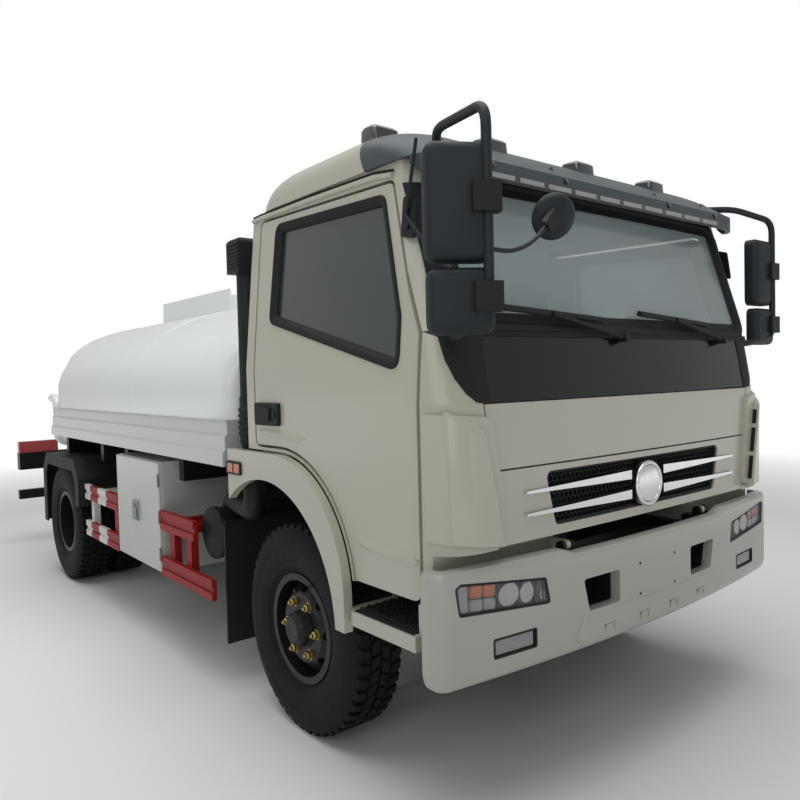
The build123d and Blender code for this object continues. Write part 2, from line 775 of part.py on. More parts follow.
def mud_path(inset):
    """Side-view line of the mudguard, moved inwards by inset."""
    slope = inset * 0.45
    return [
        (MUD_FRONT - inset, 600),
        (MUD_FRONT - inset, MUD_TOP - 130 - slope),
        (MUD_FRONT - 110 - slope, MUD_TOP - inset),
        (MUD_REAR + 110 + slope, MUD_TOP - inset),
        (MUD_REAR + inset, MUD_TOP - 130 - slope),
        (MUD_REAR + inset, 380),
    ]


mud_shell = side_prism(mud_path(0) + mud_path(MUD_THICK)[::-1], (-MUD_IN, -MUD_OUT))
mud_lip = side_prism(mud_path(0) + mud_path(MUD_LIP)[::-1], (-MUD_OUT + MUD_THICK, -MUD_OUT))
with BuildPart() as rear_mudguards:
    add(mud_shell)
    add(mud_lip)
    mirror(about=Plane.YZ)
save(rear_mudguards.part, "rear_mudguards")

# Tail frame: lamp beam across the rails' ends and an underrun bar hung below it
TAIL_HALF = 1090
TAIL_BEAM = ((690, 840), (-4700, FRAME_REAR))
with BuildPart() as tail_frame:
    block((-TAIL_HALF, TAIL_HALF), TAIL_BEAM[1], TAIL_BEAM[0])
    for sign in (-1, 1):
        block((sign * (RAIL_X - 30), sign * (RAIL_X + 30)), (-TAIL_REACH + 30, FRAME_REAR - 40), (430, 690))
    block((-TAIL_HALF, TAIL_HALF), (-TAIL_REACH, -TAIL_REACH + 60), (420, 500))
save(tail_frame.part, "tail_frame")

with BuildPart() as tail_lamps:
    for sign in (-1, 1):
        block((sign * (TAIL_HALF - 330), sign * TAIL_HALF), (-4690, FRAME_REAR - 20), (TAIL_BEAM[0][1], 940))
    fillet(tail_lamps.edges().filter_by(Axis.Z), 14)
save(tail_lamps.part, "tail_lamps")

# Discharge line: down from the tank's belly, back to a flange, with a branch to a raised elbow
PIPE_R = 54
PIPE_Z = 960
PIPE_DROP_F = -3650
FLANGE_F = -4350
FLANGE_R = 100
FLANGE_THICK = 22
FLANGE_PCD = 160
FLANGE_HOLES = 8
FLANGE_HOLE_R = 9
BORE_R = 40
ELBOW_X = -890
ELBOW_F = -4060
main_line = bent_tube(
    [
        point(0, PIPE_DROP_F, TANK_Z - TANK_RISE + 120),
        point(0, PIPE_DROP_F, PIPE_Z),
        point(0, FLANGE_F, PIPE_Z),
    ],
    90,
    PIPE_R,
)
branch = bent_tube(
    [
        point(0, ELBOW_F, PIPE_Z),
        point(ELBOW_X, ELBOW_F, PIPE_Z),
        point(ELBOW_X, ELBOW_F, 1330),
        point(ELBOW_X, ELBOW_F - 150, 1330),
    ],
    70,
    34,
)
with BuildPart() as discharge_pipe:
    add(main_line)
    add(branch)
    add(tank.part, mode=Mode.SUBTRACT)
    with BuildSketch(front_at(FLANGE_F)):
        with Locations((0, PIPE_Z)):
            Circle(FLANGE_R)
    extrude(amount=FLANGE_THICK)
    with BuildSketch(front_at(FLANGE_F)):
        with Locations((0, PIPE_Z)):
            Circle(BORE_R)
            with PolarLocations(FLANGE_PCD / 2, FLANGE_HOLES, start_angle=22.5):
                Circle(FLANGE_HOLE_R)
    extrude(amount=FLANGE_THICK, mode=Mode.SUBTRACT)
    with BuildSketch(front_at(FLANGE_F)):
        with Locations((0, PIPE_Z)):
            Circle(BORE_R)
    extrude(amount=180, mode=Mode.SUBTRACT)
    for sign in (-1, 1):
        block((sign * RAIL_IN, sign * RAIL_OUT), (-4130, -3990), (RAIL_TOP, PIPE_Z - 40))
    block((-RAIL_OUT, RAIL_OUT), (-4130, -3990), (PIPE_Z - 60, PIPE_Z - 40))
save(discharge_pipe.part, "discharge_pipe")

# Cab body as one skin: stacked slices leaning back, narrowing above the belt line
CAB_STAGES = (  # bottom, top, nose reach at the bottom, nose reach at the top
    (CAB_BOTTOM, COWL_BOTTOM, CAB_NOSE, CAB_NOSE),
    (COWL_BOTTOM, SCREEN_BASE, CAB_NOSE, SCREEN_BASE_REACH),
    (SCREEN_BASE, CAB_TOP, SCREEN_BASE_REACH, SCREEN_TOP_REACH),
)


def side_limits(inset):
    """Everything between the cab's side walls, their faces moved inwards by inset."""
    half = CAB_HALF - inset
    top_half = CAB_TOP_HALF - inset
    corners = [
        (-half, CAB_BOTTOM - 100),
        (-half, BELT_Z),
        (-top_half, CAB_TOP),
        (top_half, CAB_TOP),
        (half, BELT_Z),
        (half, CAB_BOTTOM - 100),
    ]
    return front_prism(corners, (CAB_REAR - 400, CAB_NOSE + 200))


def arch_region(inset):
    """Room over the front wheel, the same right across the cab."""
    radius = ARCH_R + inset
    with BuildPart() as region:
        with BuildSketch(side_at(CAB_HALF + 100)):
            with BuildLine():
                CenterArc((0, ARCH_Z), radius, 0, 90)
                Polyline(
                    (radius, ARCH_Z),
                    (radius, CAB_BOTTOM - 200),
                    (CAB_REAR - 200, CAB_BOTTOM - 200),
                    (CAB_REAR - 200, ARCH_Z + radius),
                    (0, ARCH_Z + radius),
                )
            make_face()
        extrude(amount=2 * CAB_HALF + 200)
    return region.part


def cab_envelope(inset):
    """Cab body between sill and roof, its faces moved inwards by inset."""
    limits = side_limits(inset)
    arch = arch_region(inset)
    with BuildPart() as body:
        for low, high, nose_low, nose_high in CAB_STAGES:
            start = low + inset if low == CAB_BOTTOM else low
            plan = bowed_plan(
                CAB_HALF - inset,
                nose_low - inset,
                NOSE_BOW,
                NOSE_CORNER - inset,
                CAB_REAR + inset,
            )
            lean = nose_low - nose_high
            extrude(
                plan.moved(Location((0, 0, start))),
                amount=math.hypot(high - start, lean),
                dir=(0, lean, high - start),
            )
        add(limits, mode=Mode.INTERSECT)
        block((-2000, 2000), (CAB_REAR - 1000, CAB_REAR + inset), (0, 3000), mode=Mode.SUBTRACT)
        add(arch, mode=Mode.SUBTRACT)
        block((-2000, 2000), (NOSE_CUT_REACH - inset, 2000), (0, NOSE_CUT_Z + inset), mode=Mode.SUBTRACT)
    return body.part


skin = cab_envelope(0)
lining = cab_envelope(WALL)
bulkhead_face = cab_envelope(WALL + BULKHEAD)
with BuildPart() as cab_wall:
    add(skin)
    add(lining, mode=Mode.SUBTRACT)

# Outlines of the side view
ARCH_GAP = 18
DOOR_OUTLINE = (
    (DOOR_FRONT, 1585),
    (700, DOOR_TOP - 25),
    (DOOR_REAR, DOOR_TOP),
)
WINDOW_OUTLINE = ((-70, 1688), (-55, 2072), (652, 2045), (765, 1640), (765, 1478))


def door_region(grow):
    """Side-view outline of the right-hand door, its edge moved outwards by grow."""
    radius = ARCH_R + ARCH_GAP
    low_angle = math.degrees(math.asin((DOOR_BOTTOM - ARCH_Z) / radius))
    with BuildPart() as region:
        with BuildSketch(side_at(-CAB_TOP_HALF + 2 * WALL)):
            with BuildLine():
                CenterArc((0, ARCH_Z), radius, low_angle, 90 - low_angle)
                FilletPolyline(
                    (radius * math.cos(math.radians(low_angle)), DOOR_BOTTOM),
                    (DOOR_FRONT, DOOR_BOTTOM),
                    *DOOR_OUTLINE,
                    (DOOR_REAR, ARCH_Z + radius),
                    (0, ARCH_Z + radius),
                    radius=30,
                )
            make_face()
            offset(amount=grow, kind=Kind.INTERSECTION, mode=Mode.REPLACE)
        extrude(amount=4 * WALL + CAB_HALF - CAB_TOP_HALF)
    return region.part


def window_region(grow):
    """Side-view outline of the right-hand door's window, its edge moved outwards by grow."""
    with BuildPart() as region:
        with BuildSketch(side_at(-CAB_TOP_HALF + 2 * WALL)):
            with BuildLine():
                FilletPolyline(*WINDOW_OUTLINE, radius=36, close=True)
            make_face()
            if grow:
                offset(amount=grow, kind=Kind.INTERSECTION, mode=Mode.REPLACE)
        extrude(amount=4 * WALL + CAB_HALF - CAB_TOP_HALF)
    return region.part


between_walls = side_limits(WALL)
door_hole = door_region(DOOR_GAP / 2) - side_limits(WALL + TOUCH)
with BuildPart() as door_right:
    add(skin)
    add(door_region(-DOOR_GAP / 2), mode=Mode.INTERSECT)
    add(between_walls, mode=Mode.SUBTRACT)
    add(window_region(0), mode=Mode.SUBTRACT)
    block((-CAB_HALF - 14, -CAB_HALF), (-172, 10), (1268, 1352))
    fillet(door_right.faces().sort_by(Axis.X)[0].edges(), 10)
save(door_right.part, "door_right")
door_left = mirror(door_right.part, about=Plane.YZ)
save(door_left, "door_left")

GLASS = 8
GLASS_INSET = 18
with BuildPart() as door_glass_right:
    add(side_limits(GLASS_INSET))
    add(side_limits(GLASS_INSET + GLASS), mode=Mode.SUBTRACT)
    add(window_region(-TOUCH), mode=Mode.INTERSECT)
save(door_glass_right.part, "door_glass_right")
door_glass_left = mirror(door_glass_right.part, about=Plane.YZ)
save(door_glass_left, "door_glass_left")

# Outlines of the front view
SCREEN_OUTLINE = ((-915, 1606), (-872, 2118), (872, 2118), (915, 1606))
REAR_WINDOW = (560, 1640, 1980)


def screen_region(grow):
    """Front-view outline of the windscreen, its edge moved outwards by grow."""
    with BuildPart() as region:
        with BuildSketch(front_at(CAB_REAR + 700)):
            with BuildLine():
                FilletPolyline(*SCREEN_OUTLINE, radius=60, close=True)
            make_face()
            if grow:
                offset(amount=grow, kind=Kind.INTERSECTION, mode=Mode.REPLACE)
        extrude(amount=CAB_NOSE - CAB_REAR - 600)
    return region.part


def panel_edge(z):
    """Half width of the nose panels at a height."""
    share = (z - PANEL_BOTTOM) / (COWL_BOTTOM - PANEL_BOTTOM)
    return PANEL_BOTTOM_HALF + share * (PANEL_TOP_HALF - PANEL_BOTTOM_HALF)


def panel_region(low, high, grow):
    """Front-view outline of a nose panel between two heights, its edge moved outwards by grow."""
    corners = [
        (-panel_edge(low) - grow, low - grow),
        (-panel_edge(high) - grow, high + grow),
        (panel_edge(high) + grow, high + grow),
        (panel_edge(low) + grow, low - grow),
    ]
    return front_prism(corners, (NOSE_CUT_REACH - WALL, CAB_NOSE + 100), 4)


COWL_SWEEP_R = 250


def cowl_region(grow):
    """Front-view outline of the dark panel below the windscreen, its edge moved outwards by grow."""
    low = COWL_BOTTOM - grow
    high = SCREEN_BASE + grow
    heights = (low, (low + high) / 2, high)
    radius = COWL_SWEEP_R - grow
    sweep_x = PANEL_TOP_HALF + COWL_SWEEP_R
    edge = [(sweep_x - math.sqrt(radius**2 - (z - COWL_BOTTOM) ** 2), z) for z in heights]
    mirrored = [(-x, z) for x, z in edge]
    with BuildPart() as region:
        with BuildSketch(front_at(DOOR_FRONT + DOOR_GAP)):
            with BuildLine():
                Line(mirrored[0], edge[0])
                ThreePointArc(*edge)
                Line(edge[2], mirrored[2])
                ThreePointArc(*mirrored[::-1])
            make_face()
        extrude(amount=CAB_NOSE - DOOR_FRONT)
    return region.part


def nose_ring(outset, low, high):
    """Solid plan of the nose between two heights, standing proud of the skin by outset."""
    with BuildPart() as ring:
        plan = bowed_plan(CAB_HALF + outset, CAB_NOSE + outset, NOSE_BOW, NOSE_CORNER + outset, CAB_REAR)
        extrude(plan.moved(Location((0, 0, low))), amount=high - low, dir=(0, 0, 1))
    return ring.part


GRILLE_OUTLINE = (
    (-GRILLE_BOTTOM_HALF, GRILLE_BOTTOM),
    (-GRILLE_TOP_HALF, GRILLE_TOP),
    (GRILLE_TOP_HALF, GRILLE_TOP),
    (GRILLE_BOTTOM_HALF, GRILLE_BOTTOM),
)
grille_hole = front_prism(GRILLE_OUTLINE, (NOSE_CUT_REACH - 2 * WALL, CAB_NOSE + 100), 24)
hood_prism = panel_region(PANEL_SPLIT, COWL_BOTTOM, -PANEL_GAP / 2)
grille_panel_prism = panel_region(PANEL_BOTTOM, PANEL_SPLIT, -PANEL_GAP / 2)
with BuildPart() as front_panels:
    add(cab_wall.part)
    add(hood_prism + grille_panel_prism, mode=Mode.INTERSECT)
    add(grille_hole, mode=Mode.SUBTRACT)
save(front_panels.part, "front_panels")

GRILLE_FACE = CAB_NOSE - GRILLE_DEPTH - NOSE_BOW / 2
SLATS = 5
slat_pitch = (GRILLE_TOP - GRILLE_BOTTOM) / (SLATS + 1)
with BuildPart() as grille:
    block((-CAB_HALF, CAB_HALF), (GRILLE_FACE - 24, GRILLE_FACE - 10), (GRILLE_BOTTOM, GRILLE_TOP))
    for slat in range(SLATS):
        middle = GRILLE_BOTTOM + slat_pitch * (slat + 1)
        block((-CAB_HALF, CAB_HALF), (GRILLE_FACE - 10, GRILLE_FACE), (middle - 5, middle + 5))
    add(grille_hole, mode=Mode.INTERSECT)
save(grille.part, "grille")

BAR_PROUD = 14
BARS = (  # height of the middle, height at the inner end, height at the outer end
    (1062, 34, 8),
    (988, 34, 8),
)
BAR_IN = 108
BAR_OUT = 684
bar_ring = nose_ring(BAR_PROUD, GRILLE_BOTTOM, GRILLE_TOP) - nose_ring(TOUCH, 0, CAB_TOP)
bar_prisms = []
for middle, inner, outer in BARS:
    for sign in (-1, 1):
        bar_prisms.append(
            front_prism(
                [
                    (sign * BAR_IN, middle - inner / 2),
                    (sign * BAR_IN, middle + inner / 2),
                    (sign * BAR_OUT, middle + outer / 2),
                    (sign * BAR_OUT, middle - outer / 2),
                ],
                (CAB_NOSE - 100, CAB_NOSE + 100),
            )
        )
with BuildPart() as grille_bars:
    add(bar_prisms)
    add(bar_ring, mode=Mode.INTERSECT)
    with BuildSketch(front_at(GRILLE_FACE)):
        with Locations((0, BADGE_Z)):
            Circle(BADGE_R)
    extrude(amount=CAB_NOSE + BAR_PROUD - GRILLE_FACE)
save(grille_bars.part, "grille_bars")

with BuildPart() as cowl_panel:
    add(cab_wall.part)
    add(cowl_region(-PANEL_GAP / 2), mode=Mode.INTERSECT)
save(cowl_panel.part, "cowl_panel")

DEFLECTOR = ((-1100, 958), (-1100, 1340), (-835, 1318), (-772, 924), (-985, 930))
DEFLECTOR_PROUD = 18
deflector_prism = front_prism(DEFLECTOR, (DOOR_FRONT + DOOR_GAP + 14, CAB_NOSE + 100), 24)
deflector_ring = nose_ring(DEFLECTOR_PROUD, NOSE_CUT_Z, COWL_BOTTOM) - nose_ring(0, 0, CAB_TOP)
panel_hole = panel_region(PANEL_BOTTOM - 60, COWL_BOTTOM, PANEL_GAP / 2)
cowl_hole = cowl_region(PANEL_GAP / 2)
with BuildPart() as deflectors:
    add(deflector_prism)
    add(deflector_ring, mode=Mode.INTERSECT)
with BuildPart() as corner_panels:
    add(cab_wall.part)
    block(
        (-CAB_HALF - 50, CAB_HALF + 50),
        (DOOR_FRONT + DOOR_GAP / 2, CAB_NOSE + 50),
        (NOSE_CUT_Z, SCREEN_BASE - PANEL_GAP / 2),
        mode=Mode.INTERSECT,
    )
    add(panel_hole, mode=Mode.SUBTRACT)
    add(cowl_hole, mode=Mode.SUBTRACT)
    add(deflectors.part)
    add(mirror(deflectors.part, about=Plane.YZ))
save(corner_panels.part, "corner_panels")

# Cab shell: walls, pillars, floor and engine cover, with a bulkhead that carries the nose panels
screen_hole = screen_region(0)
with BuildPart() as bulkhead:
    add(lining)
    add(bulkhead_face, mode=Mode.SUBTRACT)
    block(
        (-CAB_HALF, CAB_HALF),
        (DOOR_FRONT + DOOR_GAP, CAB_NOSE),
        (CAB_BOTTOM, SCREEN_BASE + 14),
        mode=Mode.INTERSECT,
    )
with BuildPart() as engine_cover:
    add(lining)
    block(
        (-TUNNEL_HALF - TUNNEL_WALL, TUNNEL_HALF + TUNNEL_WALL),
        (TUNNEL_BACK, CAB_NOSE),
        (CAB_BOTTOM, TUNNEL_TOP + TUNNEL_WALL),
        mode=Mode.INTERSECT,
    )
with BuildPart() as cab_shell:
    add(cab_wall.part)
    block(
        (-CAB_HALF - 50, CAB_HALF + 50),
        (NOSE_CUT_REACH - WALL, CAB_NOSE + 50),
        (NOSE_CUT_Z, SCREEN_BASE),
        mode=Mode.SUBTRACT,
    )
    add(door_hole, mode=Mode.SUBTRACT)
    add(mirror(door_hole, about=Plane.YZ), mode=Mode.SUBTRACT)
    for sign in (-1, 1):
        block(
            (sign * (CAB_HALF - WALL), sign * (CAB_HALF - WALL - HINGE_RELIEF)),
            (DOOR_FRONT - 2 * DOOR_HINGE_BACK, DOOR_FRONT + DOOR_GAP / 2),
            (CAB_BOTTOM, BELT_Z),
            mode=Mode.SUBTRACT,
        )
    add(screen_hole, mode=Mode.SUBTRACT)
    block(
        (-REAR_WINDOW[0], REAR_WINDOW[0]),
        (CAB_REAR, CAB_REAR + WALL),
        (REAR_WINDOW[1], REAR_WINDOW[2]),
        mode=Mode.SUBTRACT,
    )
    add(bulkhead.part)
    add(engine_cover.part)
    block(
        (-TUNNEL_HALF, TUNNEL_HALF),
        (TUNNEL_BACK, CAB_NOSE + 50),
        (CAB_BOTTOM - 50, TUNNEL_TOP),
        mode=Mode.SUBTRACT,
    )
    for sign in (-1, 1):
        arm_x = sign * PIVOT_ARM_X
        block(
            (arm_x - PIVOT_ARM_WIDTH / 2, arm_x + PIVOT_ARM_WIDTH / 2),
            (NOSE_CUT_REACH - WALL, PIVOT_REACH),
            (PIVOT_Z - PIVOT_BOSS_R, PIVOT_Z + PIVOT_BOSS_R),
        )
        with Locations(Location(point(arm_x, PIVOT_REACH, PIVOT_Z), (0, 90, 0))):
            Cylinder(PIVOT_BOSS_R, PIVOT_ARM_WIDTH)
            Cylinder(PIVOT_PIN_R + RUNNING, 2 * PIVOT_ARM_WIDTH, mode=Mode.SUBTRACT)
save(cab_shell.part, "cab_shell")

SCREEN_INSET = 10
with BuildPart() as cab_glass:
    add(cab_envelope(SCREEN_INSET))
    add(cab_envelope(SCREEN_INSET + GLASS), mode=Mode.SUBTRACT)
    add(screen_region(-TOUCH), mode=Mode.INTERSECT)
    block(
        (-REAR_WINDOW[0] + TOUCH, REAR_WINDOW[0] - TOUCH),
        (CAB_REAR + SCREEN_INSET, CAB_REAR + SCREEN_INSET + GLASS),
        (REAR_WINDOW[1] + TOUCH, REAR_WINDOW[2] - TOUCH),
    )
save(cab_glass.part, "cab_glass")

# Roof: a raised cap, cream behind a dark visor that overhangs the windscreen
ROOF_WALL = 40
ROOF_SECTIONS = (  # height, half width, rear, front, corner radius
    (CAB_TOP, 990, CAB_REAR, 890, 190),
    (2300, 905, -165, 790, 210),
    (2430, 610, 60, 500, 190),
)


def roof_section(height, half, rear, front, corner):
    """Rounded plan of the roof at one height."""
    with BuildSketch(plan_at(height), mode=Mode.PRIVATE) as section:
        with BuildLine():
            corners = [(-half, rear), (-half, front), (half, front), (half, rear)]
            FilletPolyline(*corners, radius=corner, close=True)
        make_face()
    return section.sketch


roof_outer = [roof_section(*row) for row in ROOF_SECTIONS]
roof_inner = []
for height, half, rear, front, corner in ROOF_SECTIONS:
    drop = 0 if height == CAB_TOP else ROOF_WALL * 0.6
    roof_inner.append(
        roof_section(
            height - drop,
            half - ROOF_WALL,
            rear + ROOF_WALL,
            front - ROOF_WALL,
            corner - ROOF_WALL,
        )
    )
with BuildPart() as roof_solid:
    loft(roof_outer)
with BuildPart() as roof_room:
    loft(roof_inner)
VISOR_BASE = 560
VISOR_CROWN = 430
VISOR_LIP = 2092
VISOR_LIP_WALL = 14
VISOR_LIP_BACK = 765
visor_side = side_prism(
    [
        (VISOR_BASE, CAB_TOP - 200),
        (VISOR_BASE, CAB_TOP),
        (VISOR_CROWN, 2480),
        (1300, 2480),
        (1300, CAB_TOP - 200),
    ],
    (1200, -1200),
)
cap_side = side_prism(
    [
        (VISOR_BASE - PANEL_GAP, CAB_TOP - 200),
        (VISOR_BASE - PANEL_GAP, CAB_TOP),
        (VISOR_CROWN - PANEL_GAP, 2480),
        (-1300, 2480),
        (-1300, CAB_TOP - 200),
    ],
    (1200, -1200),
)
with BuildPart() as roof:
    add(roof_solid.part)
    add(roof_room.part, mode=Mode.SUBTRACT)
    add(cap_side, mode=Mode.INTERSECT)
save(roof.part, "roof")

lip_height, lip_half, lip_rear, lip_front, lip_corner = ROOF_SECTIONS[0]
lip_outer = roof_section(VISOR_LIP, lip_half, lip_rear, lip_front, lip_corner)
lip_inner = roof_section(
    VISOR_LIP,
    lip_half - VISOR_LIP_WALL,
    lip_rear,
    lip_front - VISOR_LIP_WALL,
    lip_corner - VISOR_LIP_WALL,
)
with BuildPart() as visor_lip:
    extrude(lip_outer, amount=CAB_TOP - VISOR_LIP, dir=(0, 0, 1))
    extrude(lip_inner, amount=CAB_TOP - VISOR_LIP, dir=(0, 0, 1), mode=Mode.SUBTRACT)
    block((-1200, 1200), (-1000, VISOR_LIP_BACK), (VISOR_LIP, CAB_TOP), mode=Mode.SUBTRACT)
with BuildPart() as visor_soffit:
    add(roof_solid.part)
    block((-1200, 1200), (SCREEN_TOP_REACH - WALL, 1000), (CAB_TOP, CAB_TOP + 12), mode=Mode.INTERSECT)
with BuildPart() as roof_visor:
    add(roof_solid.part)
    add(roof_room.part, mode=Mode.SUBTRACT)
    add(visor_side, mode=Mode.INTERSECT)
    add(visor_soffit.part)
    add(visor_lip.part)
save(roof_visor.part, "roof_visor")

# Amber lamps on the roof visor and on the fenders' shoulders
FENDER_OUT = 1074
FENDER_THICK = 36
ROOF_LAMPS = (-640, 0, 640)
with BuildPart() as marker_lamps:
    for x in ROOF_LAMPS:
        block((x - 60, x + 60), (700, 816), (2268, 2312))
    add(roof_solid.part, mode=Mode.SUBTRACT)
    for sign in (-1, 1):
        block((sign * FENDER_OUT, sign * (FENDER_OUT + 12)), (-395, -270), (1047, 1097))
save(marker_lamps.part, "marker_lamps")

# Fenders: a painted band round each front wheel, a liner over the tyre and a step below the door
FENDER_R = ARCH_R - PANEL_GAP
FENDER_TAIL = -400
LINER = 10
LINER_TAIL = -320
LINER_Z = 1080
STEP_REAR = 500
STEP_FRONT = 846
STEP_BOTTOM = 590
STEP_TREAD = 640
STEP_OUT = 1056
STEP_IN = 800
with BuildPart() as fenders:
    with BuildSketch(side_at(-FENDER_OUT + FENDER_THICK)):
        with BuildLine():
            CenterArc((0, ARCH_Z), FENDER_R, 0, 90)
            Polyline(
                (0, ARCH_Z + FENDER_R),
                (FENDER_TAIL, ARCH_Z + FENDER_R),
                (FENDER_TAIL, 930),
            )
            ThreePointArc((FENDER_TAIL, 930), (-60, 1042), (424, 560))
            Polyline((424, 560), (FENDER_R, 560), (FENDER_R, ARCH_Z))
        make_face()
    extrude(amount=FENDER_THICK)
    with BuildSketch(side_at(-560)):
        with BuildLine():
            Polyline(
                (LINER_TAIL, LINER_Z),
                (LINER_TAIL, LINER_Z + LINER),
                (150, LINER_Z + LINER),
                (330, 900 + LINER),
                (330, 900),
                (150, LINER_Z),
                close=True,
            )
        make_face()
    extrude(amount=FENDER_OUT - 560)
    block((-STEP_OUT, -STEP_IN), (STEP_REAR, STEP_FRONT), (STEP_BOTTOM, STEP_TREAD))
    block((-STEP_IN - 20, -STEP_IN), (STEP_REAR, STEP_FRONT), (STEP_TREAD, CAB_BOTTOM))
    block((-STEP_OUT + 30, -STEP_IN), (STEP_FRONT - 16, STEP_FRONT), (STEP_TREAD, CAB_BOTTOM - MOVING_GAP))
    block((-900, -840), (-190, -130), (LINER_Z + LINER, ARCH_Z + ARCH_R))
    block((-FENDER_OUT + FENDER_THICK, -STEP_IN), (STEP_REAR - 40, STEP_REAR), (STEP_BOTTOM, STEP_TREAD))
    mirror(about=Plane.YZ)
save(fenders.part, "fenders")

# Mirrors: a bent tube on each corner of the cab with two heads, and a round mirror on the right
MIRROR_TUBE_R = 13
TUBE_REACH = MIRROR_REACH - MIRROR_TUBE_R
TUBE_X = 1075
MIRROR_LOW = 1600
MIRROR_HIGH = 2165
ARM_ROOT_X = 925
HEADS = (  # bottom, top, width, thickness
    (1785, 2105, 215, 62),
    (1590, 1765, 195, 56),
)
HEAD_TURN = 30
mirror_tube = bent_tube(
    [
        point(-ARM_ROOT_X, 860, MIRROR_LOW - 36),
        point(-ARM_ROOT_X - 20, 960, MIRROR_LOW - 36),
        point(-TUBE_X, TUBE_REACH, MIRROR_LOW),
        point(-TUBE_X, TUBE_REACH, MIRROR_HIGH),
        point(-ARM_ROOT_X - 40, 900, MIRROR_HIGH + 40),
        point(-ARM_ROOT_X + 60, 780, MIRROR_HIGH + 40),
    ],
    [30, 50, 60, 60],
    MIRROR_TUBE_R,
)
head_out = Vector(-math.cos(math.radians(HEAD_TURN)), math.sin(math.radians(HEAD_TURN)), 0)
head_front = Vector(-math.sin(math.radians(HEAD_TURN)), -math.cos(math.radians(HEAD_TURN)), 0)
head_parts = []
for low, high, width, thick in HEADS:
    stem = point(-TUBE_X, TUBE_REACH, (low + high) / 2)
    middle = stem + head_out * (width / 2 - 20) - head_front * thick * 0.42
    with BuildPart() as head:
        with BuildSketch(Plane(origin=middle - head_front * thick / 2, x_dir=head_out, z_dir=head_front)):
            RectangleRounded(width, high - low, 34)
        extrude(amount=thick)
        fillet(head.faces().sort_by(Axis.Y)[0].edges(), 18)
    head_parts.append(head.part)
ROUND_MIRROR = point(-735, 1165, 1916)
ROUND_MIRROR_R = 84
round_stem = bent_tube(
    [
        point(-ARM_ROOT_X - 20, 880, MIRROR_HIGH + 40),
        point(-780, 1120, MIRROR_HIGH + 20),
        point(-735, 1120, 1960),
        ROUND_MIRROR,
    ],
    [60, 30],
    9,
)
with BuildPart() as mirrors:
    add(mirror_tube)
    add(head_parts)
    block((-ARM_ROOT_X - 30, -ARM_ROOT_X + 26), (840, 880), (MIRROR_LOW - 66, MIRROR_LOW - 10))
    block((-ARM_ROOT_X + 40, -ARM_ROOT_X + 90), (750, 800), (MIRROR_HIGH + 16, MIRROR_HIGH + 64))
    mirror(about=Plane.YZ)
    add(round_stem)
    with BuildSketch(Plane(origin=ROUND_MIRROR, z_dir=(0, -1, 0))):
        Circle(ROUND_MIRROR_R)
    extrude(amount=26)
    add(skin, mode=Mode.SUBTRACT)
    add(roof_solid.part, mode=Mode.SUBTRACT)
save(mirrors.part, "mirrors")

# Wipers: two arms and blades lying along the foot of the windscreen
WIPERS = (  # pivot x, blade's near end, blade's far end
    (-105, -215, -770),
    (655, 545, 40),
)
SCREEN_LEAN = (SCREEN_BASE_REACH - SCREEN_TOP_REACH) / (CAB_TOP - SCREEN_BASE)
WIPER_GAP = 4


def on_screen(x, z, proud):
    """Place on the windscreen's outer face, moved outwards by proud."""
    bow = NOSE_BOW * (x / CAB_HALF) ** 2
    return point(x, SCREEN_BASE_REACH - SCREEN_LEAN * (z - SCREEN_BASE) - bow + proud, z)


wiper_bars = []
for pivot, near, far in WIPERS:
    hub = on_screen(pivot, 1575, 26)
    grip = on_screen((near + far) / 2, 1655, 26)
    wiper_bars.append(round_bar(hub, grip, 8))
    wiper_bars.append(round_bar(on_screen(near, 1640, 18), on_screen(far, 1672, 18), 11))
    wiper_bars.append(round_bar(on_screen(pivot, 1575, -20), on_screen(pivot, 1575, 40), 16))
    wiper_bars.append(round_bar(grip, on_screen((near + far) / 2, 1656, 10), 8))
with BuildPart() as wipers:
    add(wiper_bars)
    add(cab_wall.part, mode=Mode.SUBTRACT)
save(wipers.part, "wipers")

# Inside the cab: two seats, a dashboard and the steering column
SEAT_FLOOR = ARCH_Z + ARCH_R + WALL
SEATS = (  # middle, half width
    (520, 260),
    (-420, 430),
)
with BuildPart() as seats:
    for middle, half in SEATS:
        block((middle - half, middle + half), (-185, 300), (SEAT_FLOOR, SEAT_FLOOR + 140))
        block((middle - half, middle + half), (-200, -80), (SEAT_FLOOR, 1960))
    fillet(seats.edges().filter_by(Axis.X).filter_by(lambda edge: edge.center().Z > SEAT_FLOOR + 100), 26)
save(seats.part, "seats")

lean = math.radians(STEER_LEAN)
column_up = Vector(0, math.sin(lean), math.cos(lean))
wheel_hub = point(COLUMN_X, STEER_HUB_F, STEER_HUB_Z)
COLUMN_LENGTH = 300
column = round_bar(wheel_hub - column_up * COLUMN_LENGTH, wheel_hub - column_up * 30, 34)
dash_blank = side_prism(
    [(620, 1230), (600, 1400), (650, 1545), (CAB_NOSE, 1560), (CAB_NOSE, 1230)],
    (940, -940),
    20,
)
with BuildPart() as dashboard:
    add(dash_blank)
    add(bulkhead_face, mode=Mode.INTERSECT)
    add(column)
save(dashboard.part, "dashboard")

with BuildPart() as steering_wheel:
    with BuildSketch(Plane(origin=wheel_hub, x_dir=(1, 0, 0), z_dir=column_up)):
        Circle(48)
        for turn in (90, 210, 330):
            with Locations(Location((0, 0), turn)):
                with Locations((STEER_RIM_R / 2, 0)):
                    Rectangle(STEER_RIM_R, 34)
    extrude(amount=9, both=True)
    with Locations(Plane(origin=wheel_hub, x_dir=(1, 0, 0), z_dir=column_up).location):
        Torus(STEER_RIM_R, 15)
    with BuildSketch(Plane(origin=wheel_hub - column_up * (30 - RUNNING), x_dir=(1, 0, 0), z_dir=column_up)):
        Circle(26)
    extrude(amount=30)
save(steering_wheel.part, "steering_wheel")

